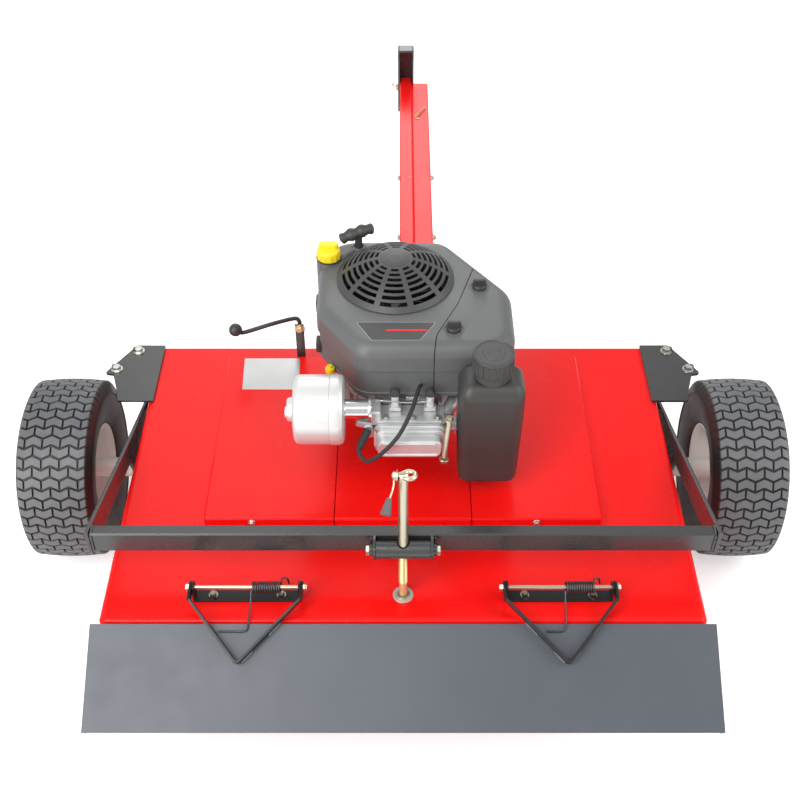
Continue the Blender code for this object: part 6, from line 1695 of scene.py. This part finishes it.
DRESSED = (
    ("deck_shell engine_plate", "red_paint", 0.002),
    ("belt_cover_left belt_cover_right", "red_paint", 0.0022),
    ("tongue_bracket", "red_paint", 0.0012),
    ("tongue_tube draw_bar", "red_paint", 0.003),
    ("corner_plate_left corner_plate_right", "black_paint", 0.0012),
    ("lever_bracket", "black_paint", 0.001),
    ("crossbar", "black_paint", 0.0022),
    ("side_arm_left side_arm_right", "black_paint", 0.0016),
    ("pivot_bolt_left pivot_bolt_right", "bright_zinc", 0.0008),
    ("trunnion", "black_paint", 0.0014),
    ("rear_flap", "flap_grey_paint", 0.001),
    ("hinge_bracket_left hinge_bracket_right", "strap_black", 0.0012),
    ("hitch_post", "black_paint", 0.0014),
    ("spindle_housing_left spindle_housing_right", "cast_aluminium", 0.0015),
    ("spindle_left spindle_right", "bright_zinc", 0.0008),
    ("blade_left blade_right", "blade_steel", 0.0008),
    ("drive_belt", "belt_rubber", 0.0008),
    ("idler_pulley", "bright_zinc", 0.0008),
    ("idler_arm", "black_paint", 0.001),
    ("crankcase", "engine_grey", 0.0012),
    ("crankshaft", "engine_grey", 0.0008),
    # The fan is near black: partly dark plastic, partly painted shade inside the housing.
    ("flywheel_fan", "fan_black_and_painted_shade", 0.0008),
)


def build_dressed():
    for nodes, look, width in DRESSED:
        for node in nodes.split():
            dressed(node, look, width)


# Cord: the spark plug lead

LEAD_RADIUS = 0.0042
LEAD_ROUTE = (
    (0.036, 0.376, 0.268), (0.031, 0.362, 0.272), (0.016, 0.306, 0.264), (-0.008, 0.266, 0.238),
    (-0.038, 0.256, 0.202), (-0.062, 0.257, 0.177), (-0.08, 0.268, 0.169), (-0.088, 0.286, 0.18),
    (-0.076, 0.304, 0.196),
)


def build_plug_lead():
    path = smooth_path(LEAD_ROUTE, 0.009)
    lead = tube("plug_lead_cord", "belt_rubber", "deck", path, LEAD_RADIUS, 14)
    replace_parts(lead, "plug_lead")


# Camera, light and floor

def build_camera():
    data = bpy.data.cameras.new("camera")
    data.lens = 52.9
    data.sensor_width = 36.0
    camera = bpy.data.objects.new("camera", data)
    bpy.context.scene.collection.objects.link(camera)
    camera.location = (-0.006, -2.3377, 2.162)
    camera.rotation_euler = (math.radians(46.84), 0.0, 0.0)
    bpy.context.scene.camera = camera


def build_light():
    world = bpy.data.worlds.new("studio")
    world.use_nodes = True
    bpy.context.scene.world = world
    nodes, links = tree(world)
    path = nodes.new("ShaderNodeLightPath")
    strength = nodes.new("ShaderNodeMapRange")
    strength.inputs["To Min"].default_value = 0.67
    strength.inputs["To Max"].default_value = 1.0
    links.new(path.outputs["Is Camera Ray"], strength.inputs["Value"])
    nodes["Background"].inputs["Color"].default_value = (1.0, 1.0, 1.0, 1.0)
    links.new(strength.outputs["Result"], nodes["Background"].inputs["Strength"])
    for name, place, size, energy in (
        ("key", (-3.2, -4.2, 2.1), 2.6, 130.0),
        ("top", (-1.5, -2.7, 3.8), 2.2, 90.0),
        ("fill", (2.8, -1.2, 2.4), 2.6, 54.0),
        ("back", (-0.6, 2.8, 3.4), 2.6, 20.0),
        ("front", (0.0, 3.8, 2.3), 1.6, 30.0),
    ):
        data = bpy.data.lights.new(name, "AREA")
        data.size = size
        data.energy = energy
        lamp = bpy.data.objects.new(name, data)
        bpy.context.scene.collection.objects.link(lamp)
        lamp.location = place
        aim = Vector((0.0, -0.5, 0.4)) - Vector(place)
        lamp.rotation_euler = aim.to_track_quat("-Z", "Y").to_euler()


def build_floor():
    bm = bmesh.new()
    half = 30.0
    corners = [bm.verts.new(p) for p in (
        (-half, -half, 0), (half, -half, 0), (half, half, 0), (-half, half, 0),
    )]
    bm.faces.new(corners)
    floor = object_of(bm, "floor")
    mat = bpy.data.materials.new("floor_white")
    mat.use_nodes = True
    nodes, links = tree(mat)
    shader = nodes["Principled BSDF"]
    shader.inputs["Base Color"].default_value = (0.86, 0.86, 0.86, 1.0)
    shader.inputs["Roughness"].default_value = 0.9
    shader.inputs["Emission Color"].default_value = (1.0, 1.0, 1.0, 1.0)
    path = nodes.new("ShaderNodeLightPath")
    glow = spread(mat, path.outputs["Is Camera Ray"], 0.08, 0.45, 0.0, 1.0)
    links.new(glow, shader.inputs["Emission Strength"])
    floor.data.materials.append(mat)


def main():
    scene = bpy.context.scene
    scene.view_settings.view_transform = "Standard"
    build_camera()
    for side, word in ((-1, "left"), (1, "right")):
        build_tyre(side, word)
        build_rim(side, word)
        build_axle_sleeve(side, word)
        build_strap(side, word)
        build_spring(side, word)
        build_hinge_details(side, word)
    paint_tyre_shade()
    build_lift_screw()
    build_screw_grip()
    build_screw_seat()
    build_frame_details()
    build_tow_details()
    build_deck_details()
    build_lever()
    build_housing()
    build_knobs()
    build_grille()
    build_label_plate()
    build_starter()
    build_dipstick()
    build_tank()
    build_muffler()
    build_valve_cover()
    build_head()
    build_crankcase_details()
    build_head_brackets()
    build_governor()
    build_breather()
    build_plug()
    build_engine_outside()
    build_plug_lead()
    build_dressed()
    build_light()
    build_floor()


main()
